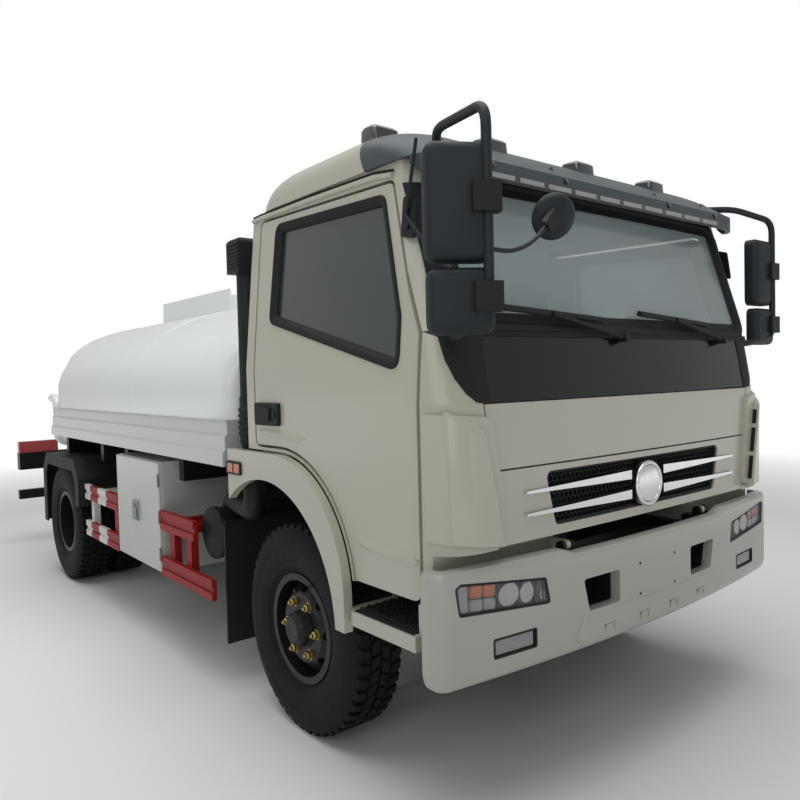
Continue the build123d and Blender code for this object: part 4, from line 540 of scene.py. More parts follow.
def make_finishes():
    """Every finish of the truck by name."""
    tones = bpy.context.scene.truck_paint
    FINISHES.update(
        cab=paint("cab_paint", tones.cab),
        bumper=paint("bumper_paint", tones.bumper, 0.6),
        tank=paint("tank_paint", tones.tank, 0.45),
        # Bed finish: the tank's paint with painted shade in its darker tone.
        bed=paint("bed_paint_and_painted_shade", tones.bed, 0.45),
        cabinet=paint("cabinet_paint", tones.cabinet, 0.6, 0.34),
        chassis=paint("chassis_black", (0.007, 0.0075, 0.008), 0.08, 0.42, 0.15),
        guard=guard_paint("guard_red", tones.guard, (0.72, 0.72, 0.70)),
        plastic=moulding("black_plastic", (0.0075, 0.009, 0.010)),
        visor=moulding("visor_plastic", tones.visor, 0.36),
        cowl=paint("gloss_black", (0.004, 0.005, 0.006), 0.05, 0.14, 0.28),
        seal=moulding("seal_rubber", (0.006, 0.0065, 0.007), 0.55),
        chrome=metal("chrome", (0.78, 0.79, 0.80), 0.10),
        reflector=metal("reflector", (0.42, 0.43, 0.44), 0.14),
        mirror=metal("mirror_glass", (0.70, 0.74, 0.76), 0.02),
        zinc=metal("yellow_zinc", (0.46, 0.36, 0.14), 0.32),
        steel=metal("steel", (0.34, 0.34, 0.33), 0.38, 0.0004),
        iron=paint("cast_iron", (0.020, 0.020, 0.021), 0.3, 0.6, 0.2),
        # Windscreen pane: its pale blue-grey tone is a painted sky reflection.
        glass=window_glass("window_glass", (0.56, 0.67, 0.69), 0.33),
        # Door panes: their dark, mostly opaque tone is painted shade from the cab's inside.
        side_glass=window_glass("side_glass", (0.052, 0.066, 0.068), 0.70),
        clear=lens("clear_lens", (0.60, 0.63, 0.65), 0.08),
        amber=lens("amber_lens", (0.62, 0.13, 0.006), 1.0, LENS_RIBS),
        red=lens("red_lens", (0.42, 0.010, 0.010), 1.0, LENS_RIBS),
        pale=lens("pale_lens", (0.36, 0.38, 0.39), 1.0, LENS_RIBS),
        smoked=lens("smoked_lens", (0.014, 0.015, 0.016)),
        mirror_shell=moulding("mirror_plastic", (0.010, 0.016, 0.021), 0.42),
        rubber=rubber("tyre_rubber"),
        wheel=paint("wheel_black", (0.006, 0.0065, 0.007), 0.10, 0.34, 0.18),
        cloth=cloth("seat_cloth", (0.035, 0.036, 0.040)),
    )


CAD_FINISH = {
    "cab": "cab_shell roof front_panels corner_panels fenders door_right door_left",
    "bumper": "bumper",
    "tank": "tank manhole_guard manhole_lid discharge_pipe",
    # The bed's darker tone is painted shade.
    "bed": "tank_bed",
    "cabinet": "tool_cabinet cabinet_door",
    "chassis": "frame_rails crossmembers cab_pivots subframe tail_frame",
    "guard": "side_guards",
    "plastic": "air_cleaner splash_guards rear_mudguards mirrors wipers dashboard steering_wheel grille",
    "visor": "roof_visor",
    "cowl": "cowl_panel",
    "chrome": "grille_bars",
    "steel": "leaf_springs propshaft fuel_tank tie_rod",
    "iron": "front_axle rear_axle engine knuckle_right knuckle_left",
    # The cab glass finish carries a painted sky reflection in its pale tone.
    "glass": "cab_glass",
    # The door glass finish paints the shade of the cab's inside as a dark tone.
    "side_glass": "door_glass_right door_glass_left",
    "wheel": "wheel_front_right wheel_front_left wheels_rear_right wheels_rear_left",
    "red": "tail_lamps",
    "rubber": "tyre_front_right tyre_front_left tyres_rear_right tyres_rear_left",
    "amber": "marker_lamps",
    "clear": "front_lamps",
    "cloth": "seats",
}


class NodeTree:
    """A Geometry Nodes tree with named inputs, ending in realized copies of a template."""

    def __init__(self, name, inputs):
        self.tree = bpy.data.node_groups.new(name, "GeometryNodeTree")
        for label, kind in (("Template", "Object"), ("Finish", "Material"), *inputs):
            self.tree.interface.new_socket(label, in_out="INPUT", socket_type="NodeSocket" + kind)
        self.tree.interface.new_socket("Geometry", in_out="OUTPUT", socket_type="NodeSocketGeometry")
        entry = self.tree.nodes.new("NodeGroupInput")
        self.inputs = {socket.name: Signal(self.tree, socket) for socket in entry.outputs if socket.name}
        self.index = Signal(self.tree, self.tree.nodes.new("GeometryNodeInputIndex").outputs[0])

    def finish(self, points, turn=None, shift=None):
        """Puts the template on points and closes the tree."""
        source = points.node("GeometryNodeObjectInfo", {}, {"Object": self.inputs["Template"]}, "Geometry")
        if shift is not None:
            source = source.node("GeometryNodeTransform", {}, {"Geometry": source, "Translation": shift})
        links = {"Points": points, "Instance": source}
        if turn is not None:
            links["Rotation"] = turn.node("FunctionNodeEulerToRotation", {}, {0: turn})
        copies = points.node("GeometryNodeInstanceOnPoints", {}, links)
        solid = copies.node("GeometryNodeRealizeInstances", {}, {"Geometry": copies})
        coat = {"Geometry": solid, "Material": self.inputs["Finish"]}
        painted = solid.node("GeometryNodeSetMaterial", {}, coat)
        exit_node = self.tree.nodes.new("NodeGroupOutput")
        self.tree.links.new(painted.socket, exit_node.inputs[0])
        return self.tree


def ring_tree():
    """Copies of a template round the Z axis at a radius."""
    made = NodeTree("round_the_axle", (("Count", "Int"), ("Radius", "Float"), ("Phase", "Float")))
    count = made.inputs["Count"]
    points = count.node("GeometryNodePoints", {}, {"Count": count})
    angle = made.index * (2 * math.pi) / count + made.inputs["Phase"]
    turn = angle.node("ShaderNodeCombineXYZ", {}, {"Z": angle})
    shift = count.node("ShaderNodeCombineXYZ", {}, {"X": made.inputs["Radius"]})
    return made.finish(points, turn, shift)


def grid_tree():
    """Copies of a template in rows, each second row moved along, kept inside slanted ends."""
    sizes = (("Columns", "Int"), ("Rows", "Int"), ("Pitch", "Float"), ("Rise", "Float"), ("Stagger", "Float"))
    made = NodeTree("rows_of_cells", (*sizes, ("Half", "Float"), ("Slant", "Float")))
    names = made.inputs
    count = names["Columns"] * names["Rows"]
    points = count.node("GeometryNodePoints", {}, {"Count": count})
    row = made.index.maths("FLOOR", made.index / names["Columns"])
    column = made.index - row * names["Columns"]
    odd = row.maths("MODULO", row, 2.0)
    x = (column - (names["Columns"] - 1.0) / 2.0) * names["Pitch"] + odd * names["Stagger"]
    y = (row - (names["Rows"] - 1.0) / 2.0) * names["Rise"]
    place = x.node("ShaderNodeCombineXYZ", {}, {"X": x, "Y": y})
    laid = points.node("GeometryNodeSetPosition", {}, {"Geometry": points, "Position": place})
    outside = x.size() > names["Half"] + y * names["Slant"]
    chosen = {"Geometry": laid, "Selection": outside}
    kept = laid.node("GeometryNodeDeleteGeometry", {"domain": "POINT"}, chosen)
    return made.finish(kept)


TREES = {}


def repeat(tree, template, finish, **sizes):
    """Plain mesh of the template in a named finish, repeated by a tree."""
    bmesh.ops.recalc_face_normals(template.mesh, faces=template.mesh.faces)
    pattern = bpy.data.objects.new("pattern", bpy.data.meshes.new("pattern"))
    template.mesh.to_mesh(pattern.data)
    template.mesh.free()
    holder = bpy.data.objects.new("holder", bpy.data.meshes.new("holder"))
    for item in (pattern, holder):
        bpy.context.scene.collection.objects.link(item)
    modifier = holder.modifiers.new("repeat", "NODES")
    modifier.node_group = TREES[tree]
    settings = {"Template": pattern, "Finish": FINISHES[finish], **sizes}
    for socket in TREES[tree].interface.items_tree:
        if socket.in_out == "INPUT":
            modifier[socket.identifier] = settings[socket.name]
    evaluated = holder.evaluated_get(bpy.context.evaluated_depsgraph_get())
    mesh = bpy.data.meshes.new_from_object(evaluated)
    for item in (holder, pattern):
        bpy.data.objects.remove(item)
    return mesh


def onto_axle(x, forward, outward):
    """Matrix that takes a ring about Z to a wheel, its Z pointing outwards along X."""
    return Matrix.Translation(at(x, forward, AXLE_Z)) @ Matrix.Rotation(math.pi / 2 * outward, 4, "Y")


class TRUCK_OT_finishes(bpy.types.Operator):
    """Gives each solid of the truck its finish"""

    bl_idname = "truck.finishes"
    bl_label = "Finishes"

    def execute(self, context):
        make_finishes()
        TREES.update(ring=ring_tree(), grid=grid_tree())
        for finish, names in CAD_FINISH.items():
            for name in names.split():
                slots = frame["nodes"][name].data.materials
                slots.clear()
                slots.append(FINISHES[finish])
        return {"FINISHED"}


TYRE_WALL = (  # outwards from the middle, radius
    (0.0857, 0.2055),
    (0.0857, 0.2245),
    (0.0950, 0.2330),
    (0.1040, 0.2480),
    (0.1062, 0.2500),
    (0.1140, 0.2800),
    (0.1172, 0.3150),
    (0.1165, 0.3420),
    (0.1180, 0.3440),
    (0.1150, 0.3700),
    (0.1080, 0.3980),
    (0.1000, 0.4100),
)
SHOULDER = 0.088
# Inner edge, outer edge, length along the tread, skew, phase in pitches, taper at the outer edge.
TREAD_LUGS = (
    (0.050, 0.1000, 0.034, 0.012, 0.0, 0.004),
    (0.006, 0.0430, 0.046, -0.016, 0.5, 0.0),
)
LUG_ROOT, LUG_EDGE, LUG_SINK = 0.004, 0.003, 0.0017
SIDES = ((-1, "right"), (1, "left"))


def tyre_mesh(shape, x, forward, outward):
    """One tyre with its wall and its lugs."""
    fittings = bpy.context.scene.truck_fittings
    depth = fittings.lug_depth
    base = TYRE_R - depth
    half = [*TYRE_WALL, (SHOULDER, base)]
    profile = [(-across, radius) for across, radius in half][::-1] + half
    shape.lathe(profile[::-1], at(x, forward, AXLE_Z), Vector((1, 0, 0)), 96, looped=True)
    pitch = 2 * math.pi / fittings.lugs
    for near, far, long, skew, phase, taper in TREAD_LUGS:
        for side in (-1, 1):
            lug = Shape()
            rings = []
            for height, shrink in ((-LUG_ROOT, 0.0), (depth - LUG_EDGE, 0.0), (depth, LUG_EDGE)):
                end = long / 2 - shrink
                inner = near + shrink
                outer = far - shrink - (taper if height > 0 else 0.0)
                corners = ((-end, inner), (end, inner), (end + skew, outer), (skew - end, outer))
                rings.append([Vector((height, along, side * across)) for along, across in corners])
            lug.loft(rings)
            start = (phase + (0.5 if side > 0 else 0.0)) * pitch
            mesh = repeat("ring", lug, "rubber", Count=fittings.lugs, Radius=base - LUG_SINK, Phase=start)
            shape.add(mesh, onto_axle(x, forward, outward))


class TRUCK_OT_tyres(bpy.types.Operator):
    """Tyres with moulded walls and tread lugs"""

    bl_idname = "truck.tyres"
    bl_label = "Tyres"

    def execute(self, context):
        for side, word in SIDES:
            front = Shape()
            tyre_mesh(front, side * FRONT_TYRE_X, 0.0, side)
            piece = front.done("front_tyre_" + word, "rubber", "wheel_front_" + word, "tyre", smooth=32)
            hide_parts("tyre_front_" + word)
            rear = Shape()
            for x in (REAR_TYRE_X, REAR_TYRE_X - TWIN_PITCH):
                tyre_mesh(rear, side * x, REAR_AXLE, side)
            piece = rear.done("twin_tyres_" + word, "rubber", "wheels_rear_" + word, "tyre", smooth=32)
            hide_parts("tyres_rear_" + word)
        return {"FINISHED"}


WHEEL_FACES = (  # body, distance of the wheel's face from the middle, forward place
    ("wheel_front_", FRONT_TYRE_X + 0.084, 0.0),
    ("wheels_rear_", TWIN_MIDDLE + 0.014, REAR_AXLE),
)
# Distances outwards and radii along the profiles of a wheel nut and of a front hub, with the steps round.
NUT_FORMS = (
    (((0, 0.021), (0.003, 0.021)), 16),
    (((0.003, 0.0165), (0.017, 0.0165), (0.021, 0.0135)), 6),
    (((0.021, 0.008), (0.030, 0.008), (0.032, 0.006)), 10),
)
HUB_FORMS = (
    (((0.048, 0.052), (0.052, 0.047), (0.053, 0.020), (0.050, 0.0005)), 24),
    (((0.0, 0.082), (0.005, 0.0815), (0.006, 0.079)), 32),
)
VALVE = Vector((0, -0.045, 0.176))
VALVE_BARS = ((-0.02, 0.055, 0.005), (0.045, 0.060, 0.007))  # start, end, radius


def wheel_nut():
    """Hexagon nut on a washer with the stud's end."""
    nut = Shape()
    for profile, steps in NUT_FORMS:
        nut.lathe(profile, ORIGIN, UP, steps)
    return nut


class TRUCK_OT_wheels(bpy.types.Operator):
    """Wheel nuts, hub rings and valves"""

    bl_idname = "truck.wheels"
    bl_label = "Wheel fittings"

    def execute(self, context):
        fittings = context.scene.truck_fittings
        spread = {"Count": fittings.nuts, "Radius": fittings.nut_circle, "Phase": math.pi / fittings.nuts}
        for side, word in SIDES:
            for body, face, forward in WHEEL_FACES:
                nuts = Shape()
                nuts.add(repeat("ring", wheel_nut(), "zinc", **spread), onto_axle(side * face, forward, side))
                nuts.done(body + word + "_nuts", "zinc", body + word, "steel", smooth=30)
                trim = Shape()
                out = Vector((side, 0, 0))
                hub = at(side * face, forward, AXLE_Z)
                if forward == 0.0:
                    for profile, steps in HUB_FORMS:
                        trim.lathe(profile, hub, out, steps)
                for start, end, radius in VALVE_BARS:
                    trim.bar(hub + VALVE + out * start, hub + VALVE + out * end, radius, 10)
                trim.done(body + word + "_trim", "wheel", body + word, "wheel_black", smooth=35)
        return {"FINISHED"}


LAMP_SLOPES = (0.0757, 0.112)  # rise of the headlamp's foot and of its brow along X
LAMP_FLOOR, FACET_STEP = -0.036, 0.006
# Sections of the lamps' frames: outwards, proud.
HEAD_FRAME = ((-0.0005, -0.040), (-0.0005, -0.002), (-0.009, -0.003), (-0.011, -0.036))
FOG_FRAME = ((-0.0005, -0.036), (-0.0005, 0.001), (-0.007, 0.001), (-0.008, -0.030))
FRAME_FLOOR = 0.004
LAMP_BOWLS = (  # middle, half width, shares of the lamp's height
    (0.780, 0.045, (0.10, 0.90)),
    (0.702, 0.032, (0.12, 0.88)),
)
BOWL_FORM = ((-0.010, 1.0), (-0.018, 0.88), (-0.026, 0.66), (-0.033, 0.30), (-0.024, 0.22))  # depth, share
LAMP_FACETS = (  # count, first place, pitch, width, margin as a share of height, depth, depths taken in turn
    (8, 0.670, 0.020, 0.017, 0.05, -0.022, 2),
    (3, 0.614, 0.012, 0.010, 0.08, -0.010, 3),
)
SIGNALS, SIGNAL_WIDTH, SIGNAL_R, SIGNAL_FACE = (0.834, 0.886), 0.048, 0.012, -0.010
FOG_BOWL, FOG_LENS = (0.678, 0.562, 0.847, 0.616, 0.008), (0.680, 0.564, 0.845, 0.614, 0.008)


def lamp_cell(x_in, x_out, low, high):
    """Four corners of a headlamp cell, by its sides and its shares of the slanting height."""
    (foot_x, foot_z), (brow_x, brow_z) = HEADLAMP[0], HEADLAMP[4]
    corners = []
    for x, share in ((x_in, low), (x_out, low), (x_out, high), (x_in, high)):
        foot = foot_z + LAMP_SLOPES[0] * (x - foot_x)
        brow = brow_z + LAMP_SLOPES[1] * (x - brow_x)
        corners.append(Vector((x, foot + share * (brow - foot))))
    return corners


def lamp_bowl(shape, middle, half, shares):
    """Round reflector of a headlamp, by its middle, its half width and its shares of the height."""
    (_, low), _, (_, high), _ = lamp_cell(middle, middle, *shares)
    centre, rise = (low + high) / 2, (high - low) / 2
    rings = []
    for depth, share in BOWL_FORM:
        spokes = [(half * share * math.cos(t), rise * share * math.sin(t)) for t in angles(24)]
        rings.append([bumper_at(middle + x, centre + z, depth) for x, z in spokes])
    shape.loft(rings)


class TRUCK_OT_lamps(bpy.types.Operator):
    """Headlamps with reflectors, turn signals and lenses, and the fog lamps"""

    bl_idname = "truck.lamps"
    bl_label = "Front lamps"

    def execute(self, context):
        head = rounded(HEADLAMP, HEADLAMP_R)
        housing = Shape()
        for outline, section in ((head, HEAD_FRAME), (rounded(FOG_LAMP, FOG_R), FOG_FRAME)):
            floor = section[0][1]
            housing.rim(outline, section, bumper_at)
            housing.plate(grown(outline, -0.004), floor, floor + FRAME_FLOOR, bumper_at)
        divider = rounded(lamp_cell(0.652, 0.664, 0.06, 0.94), 0.003)
        housing.plate(divider, LAMP_FLOOR, -0.012, bumper_at)
        piece = housing.mirrored().done("lamp_housings", "plastic", "chassis", "black_plastic")
        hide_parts("front_lamps")

        bowls = Shape()
        for middle, half, shares in LAMP_BOWLS:
            lamp_bowl(bowls, middle, half, shares)
        for count, first, pitch, width, margin, depth, cycle in LAMP_FACETS:
            for facet in range(count):
                x = first + facet * pitch
                cell = lamp_cell(x, x + width, margin, 1 - margin)
                bowls.plate(cell, LAMP_FLOOR, depth - FACET_STEP * (facet % cycle), bumper_at)
        bowls.plate(oblong(*FOG_BOWL), -0.034, -0.024, bumper_at)
        bowls.mirrored().done("lamp_reflectors", "reflector", "chassis", "chrome", 0.002)

        amber = Shape()
        pale = Shape()
        for x in SIGNALS:
            for shape, shares in ((amber, (0.50, 0.93)), (pale, (0.06, 0.46))):
                cell = rounded(lamp_cell(x, x + SIGNAL_WIDTH, *shares), SIGNAL_R)
                shape.plate(cell, LAMP_FLOOR, SIGNAL_FACE, bumper_at)
        amber.mirrored().done("turn_signals", "amber", "chassis", "lamp_amber", 0.003)
        pale.plate(rounded(lamp_cell(0.941, 0.978, 0.06, 0.94), 0.004), LAMP_FLOOR, -0.012, bumper_at)
        pale.plate(oblong(*FOG_LENS), -0.014, -0.006, bumper_at)
        pale.mirrored().done("side_lights", "pale", "chassis", "lamp_clear", 0.003)

        cover = Shape()
        cover.plate(grown(head, -0.010), -0.007, -0.003, bumper_at)
        cover.mirrored().done("headlamp_lenses", "clear", "chassis", "lamp_clear")
        return {"FINISHED"}


TOP_STEP, TOP_STEP_HALF, TOP_STEP_SLANT = 0.022, 0.470, 0.070
APRON_HALF, APRON_SLANT, APRON_LOW, APRON_HIGH, APRON_PROUD = 0.481, 0.036, 0.528, 0.603, 0.006
# Inwards and height of the bumper's foot; inwards and height from the top of its brow.
BUMPER_FOOT = ((0.062, 0.486), (0.024, 0.486), (0.014, 0.496), (0.005, 0.514), (0.0, 0.540))
BUMPER_BROW = ((0.0, -0.030), (0.0024, -0.014), (0.008, -0.004), (0.018, 0.0), (0.040, 0.0))
STAY_HALF, STAY_LOW, STAY_HIGH, STAY_START = 0.025, 0.750, 0.790, 0.045
BRACKETS, BRACKET_TOP = (-0.31, -0.10, 0.10, 0.31), 0.556
BRACKET_BARS = ((-0.028, 0.530, -0.021), (0.021, 0.530, 0.028), (-0.028, 0.550, 0.028))  # left, bottom, right
POCKET_WALL = ((0.014, -0.041), (0.014, -0.130), (0.008, -0.130), (0.004, -0.041))  # outwards, proud
BUMPER_BOLTS = ((-0.118, 0.622), (-0.118, 0.735), (0.118, 0.622), (0.118, 0.735))
BUMPER_BOLT = ((0.0, 0.0055), (0.0046, 0.0055))  # outwards, radius


def bumper_path(inset):
    """Plan of the bumper's face from its right end to its left one, moved inwards."""
    half, corner = BUMPER_HALF - inset, BUMPER_CORNER - inset
    turn_x = half - corner
    turn_f = BUMPER_REACH - inset - bow(turn_x, BUMPER_HALF, BUMPER_BOW) - corner
    end = [(half, BUMPER_END), (half, turn_f)]
    for step in range(1, 8):
        angle = math.pi / 16 * step
        end.append((turn_x + corner * math.cos(angle), turn_f + corner * math.sin(angle)))
    knees = [TOP_STEP_HALF, TOP_STEP_HALF + TOP_STEP_SLANT]
    across = sorted([turn_x * (share / 22 - 1) for share in range(45)] + knees + [-knee for knee in knees])
    front = [(x, BUMPER_REACH - inset - bow(x, BUMPER_HALF, BUMPER_BOW)) for x in across]
    return [(-x, f) for x, f in end] + front + end[::-1]


def bumper_wall():
    """Bent wall of the bumper with a lower middle, its openings and the stays to the rails."""
    wall = Shape()
    rings = []
    for (x, f), (inner_x, inner_f) in zip(bumper_path(0.0), bumper_path(BUMPER_WALL)):
        lowered = min(max((TOP_STEP_HALF + TOP_STEP_SLANT - abs(x)) / TOP_STEP_SLANT, 0.0), 1.0)
        top = BUMPER_TOP - TOP_STEP * lowered
        brow = [(depth, top + drop) for depth, drop in BUMPER_BROW]
        ring = []
        for depth, z in (*BUMPER_FOOT, *brow, (BUMPER_WALL, BUMPER_FOOT[-1][1])):
            share = depth / BUMPER_WALL
            ring.append(at(x + (inner_x - x) * share, f + (inner_f - f) * share, z))
        rings.append(ring)
    wall.loft(rings)
    openings = Shape()
    for outline, radius in ((HEADLAMP, HEADLAMP_R), (FOG_LAMP, FOG_R), (TOW_OPENING, TOW_R)):
        openings.plate(rounded(outline, radius), -0.10, 0.06, bumper_at)
    wall.cut(openings.mirrored())
    for x in (-RAIL_X, RAIL_X):
        front = at(x - STAY_HALF, BUMPER_REACH - STAY_START, STAY_LOW)
        wall.block(front, at(x + STAY_HALF, RAIL_END, STAY_HIGH))
    return wall


def raised_apron():
    """Raised middle of the bumper's foot with its small brackets."""
    apron = Shape()
    rings = []
    reach = APRON_HALF - 0.001
    for step in range(49):
        x = reach * (step / 24 - 1)
        share = min((APRON_HALF - abs(x)) / APRON_SLANT, 1.0)
        top = APRON_LOW + (APRON_HIGH - APRON_LOW) * share
        foot, brow = (APRON_PROUD, APRON_LOW + 0.002), (APRON_PROUD, top - 0.002)
        section = ((-0.003, APRON_LOW), foot, brow, (-0.003, top + 0.006))
        rings.append([bumper_at(x, z, proud) for proud, z in section])
    apron.loft(rings)
    for x in BRACKETS:
        for left, low, right in BRACKET_BARS:
            corners = ((left, low), (right, low), (right, BRACKET_TOP), (left, BRACKET_TOP))
            apron.plate([Vector((x + side, z)) for side, z in corners], 0.004, 0.0095, bumper_at)
    return apron


class TRUCK_OT_bumper(bpy.types.Operator):
    """Bumper with its lower middle, lamp and tow openings, the raised apron and dark tow pockets"""

    bl_idname = "truck.bumper"
    bl_label = "Bumper"

    def execute(self, context):
        piece = bumper_wall().done("bumper_face", "bumper", "chassis", "bumper_paint", smooth=32)
        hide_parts("bumper")
        raised_apron().done("bumper_apron", "bumper", "chassis", "bumper_paint", smooth=32)
        tow = rounded(TOW_OPENING, TOW_R)
        pocket = Shape()
        pocket.rim(tow, POCKET_WALL, bumper_at)
        pocket.plate(grown(tow, 0.012), -0.134, -0.128, bumper_at)
        pocket.mirrored()
        for x, z in BUMPER_BOLTS:
            pocket.lathe(BUMPER_BOLT, bumper_at(x, z, -0.004), AHEAD, 14)
        pocket.done("tow_pockets", "seal", "chassis", "black_plastic")
        return {"FINISHED"}


GRILLE_FACE, GRILLE_LOW, GRILLE_HIGH = 0.951, 0.932, 1.12
GRILLE_LOW_HALF, GRILLE_HIGH_HALF = 0.529, 0.577
GRILLE_CORNERS = (
    (-GRILLE_LOW_HALF, GRILLE_LOW),
    (GRILLE_LOW_HALF, GRILLE_LOW),
    (GRILLE_HIGH_HALF, GRILLE_HIGH),
    (-GRILLE_HIGH_HALF, GRILLE_HIGH),
)
GRILLE_RIM = ((-0.001, -0.014), (-0.001, 0.018), (-0.010, 0.016), (-0.014, -0.014))  # outwards, proud
BADGE_Z, BADGE_R, BADGE_FACE = 1.018, 0.086, 0.997
# Distance outwards and radius along the emblem's plain disc.
BADGE_DISC = ((0.0, 0.070), (0.006, 0.068), (0.009, 0.050), (0.0105, 0.025), (0.011, 0.001))


def grille_at(x, z, proud):
    """Place on the flat face behind the grille's bars."""
    return at(x, GRILLE_FACE + proud, z)


class TRUCK_OT_grille(bpy.types.Operator):
    """Hexagon mesh behind the bars and the plain round emblem"""

    bl_idname = "truck.grille"
    bl_label = "Grille"

    def execute(self, context):
        pitch = context.scene.truck_fittings.mesh_pitch
        rise = pitch * math.sqrt(3) / 2
        cell = Shape()
        edge = pitch / math.sqrt(3)
        section = ((edge, -0.004), (edge, 0.003), (pitch * 0.46, 0.004), (pitch * 0.44, -0.004))
        turns = angles(6, math.pi / 6)
        rings = [[Vector((r * math.cos(t), r * math.sin(t), z)) for t in turns] for r, z in section]
        cell.loft(rings, looped=True)
        sizes = {
            "Columns": round(2 * GRILLE_HIGH_HALF / pitch),
            "Rows": round((GRILLE_HIGH - GRILLE_LOW) / rise),
            "Half": (GRILLE_LOW_HALF + GRILLE_HIGH_HALF) / 2 - pitch / 2,
            "Slant": (GRILLE_HIGH_HALF - GRILLE_LOW_HALF) / (GRILLE_HIGH - GRILLE_LOW),
        }
        mesh = repeat("grid", cell, "plastic", Pitch=pitch, Rise=rise, Stagger=pitch / 2, **sizes)
        net = Shape()
        upright = Matrix.Translation(grille_at(0, (GRILLE_LOW + GRILLE_HIGH) / 2, 0))
        net.add(mesh, upright @ Matrix.Rotation(math.pi / 2, 4, "X"))
        opening = rounded(GRILLE_CORNERS, 0.024)
        net.plate(opening, -0.024, -0.016, grille_at)
        net.rim(opening, GRILLE_RIM, grille_at)
        piece = net.done("grille_mesh", "plastic", "cab", "black_plastic", smooth=30)
        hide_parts("grille")

        emblem = Shape()
        face = at(0, BADGE_FACE, BADGE_Z)
        ring = [(0.010 * math.sin(t), BADGE_R - 0.007 + 0.009 * math.cos(t)) for t in angles(12)]
        emblem.lathe(ring, face, AHEAD, 48, looped=True)
        emblem.lathe(BADGE_DISC, face, AHEAD, 48)
        emblem.done("emblem_ring", "chrome", "cab", "chrome", smooth=50)
        return {"FINISHED"}


DEFLECTOR_FOOT, DEFLECTOR_HEAD = ((0.815, 0.905), (0.985, 0.925)), ((0.896, 1.301), (0.990, 1.345))
# Shares of the height and of the depth round a deflector's section.
DEFLECTOR_FORM = ((0.0, 0.0), (0.0, 0.3), (0.02, 1.0), (0.915, 1.0), (1.0, 0.3), (1.0, 0.0))
DEFLECTOR_DEPTHS = (0.006, 0.046, 0.030)
DEFLECTOR_SLOTS = ((0.10, 0.36), (0.41, 0.68), (0.73, 0.89))
SLOT_DEPTHS, SLOT_IN, SLOT_OUT = (0.012, 0.036), Vector((0.002, 0, 0)), Vector((-0.004, 0, 0))


def deflector_at(across, share, proud):
    """Place on the right air deflector, by shares from its inner edge and from its foot."""
    foot, head = (Vector(ends[0]).lerp(Vector(ends[1]), across) for ends in (DEFLECTOR_FOOT, DEFLECTOR_HEAD))
    spot = foot.lerp(head, share)
    return nose_at(-spot.x, spot.y, proud)


class TRUCK_OT_deflectors(bpy.types.Operator):
    """Raised faces of the air deflectors on the cab's corners, with slots in their inner walls"""

    bl_idname = "truck.deflectors"
    bl_label = "Air deflectors"

    def execute(self, context):
        low, inner, outer = DEFLECTOR_DEPTHS
        faces = Shape()
        rings = []
        for step in range(11):
            across = step / 10
            depth = inner + (outer - inner) * across - low
            rings.append([deflector_at(across, share, low + depth * rise) for share, rise in DEFLECTOR_FORM])
        faces.loft(rings)
        faces.mirrored().done("deflector_faces", "cab", "cab", "cab_paint", 0.004, 30)
        slots = Shape()
        for bottom, top in DEFLECTOR_SLOTS:
            rings = []
            for share in (bottom, top):
                near, far = (deflector_at(0.0, share, proud) for proud in SLOT_DEPTHS)
                rings.append([near + SLOT_IN, far + SLOT_IN, far + SLOT_OUT, near + SLOT_OUT])
            slots.loft(rings)
        slots.mirrored().done("deflector_slots", "seal", "cab", "black_plastic")
        return {"FINISHED"}


def right_side(forward, z, proud=0.0):
    """Place on the cab's right side."""
    return at(-side_x(z) - proud, forward, z)


def left_side(forward, z, proud=0.0):
    """Place on the cab's left side."""
    return at(side_x(z) + proud, forward, z)


SIDE_SEAL = (  # outwards, proud
    (0.012, 0.0004),
    (0.010, 0.006),
    (-0.004, 0.006),
    (-0.024, -0.012),
    (-0.024, -0.0176),
    (-0.002, -0.0176),
)
DOOR_HANDLE, DOOR_GRIP = (-0.178, 1.264, 0.014, 1.356, 0.014), (-0.160, 1.282, -0.040, 1.340, 0.022)
LOCK_F, LOCK_Z, LOCK_R = -0.012, 1.310, 0.013
DOOR_CREASES = (((0.50, 0.888), (0.842, 0.868)), ((-0.19, 1.235), (0.20, 1.222)))  # the ends' places
CREASE_ENDS = ((0.0, 0.1), (0.12, 1.0), (0.88, 1.0), (1.0, 0.1))  # share of the length, of the section
CREASE_FOOT, CREASE_BROW, CREASE_PROUD, CREASE_SINK = 0.022, 0.004, 0.006, -0.001


class TRUCK_OT_doors(bpy.types.Operator):
    """Window seals, handles, locks and pressed creases of the doors"""

    bl_idname = "truck.doors"
    bl_label = "Door fittings"

    def execute(self, context):
        window = rounded(WINDOW, 0.036)
        lock = [Vector((LOCK_F + LOCK_R * math.cos(t), LOCK_Z + LOCK_R * math.sin(t))) for t in angles(16)]
        for to_place, word in ((right_side, "right"), (left_side, "left")):
            seal = Shape()
            seal.rim(window, SIDE_SEAL, to_place)
            seal.done("window_seal_" + word, "seal", "door_" + word, "black_plastic", smooth=50)
            catch = Shape()
            catch.plate(oblong(*DOOR_HANDLE), 0.0004, 0.0165, to_place)
            catch.plate(oblong(*DOOR_GRIP), 0.012, 0.026, to_place)
            catch.plate(lock, 0.010, 0.021, to_place)
            catch.done("door_handle_" + word, "plastic", "door_" + word, "black_plastic", 0.004)
            crease = Shape()
            for near, far in DOOR_CREASES:
                rings = []
                for share, size in CREASE_ENDS:
                    f, z = Vector(near).lerp(Vector(far), share)
                    foot, brow, proud = CREASE_FOOT * size, CREASE_BROW * size, CREASE_PROUD * size
                    section = ((foot, CREASE_SINK), (brow, proud), (-brow, proud), (-foot, CREASE_SINK))
                    rings.append([to_place(f, z + rise, out) for rise, out in section])
                crease.loft(rings)
            crease.done("door_crease_" + word, "cab", "door_" + word, "cab_paint", smooth=60)
        return {"FINISHED"}


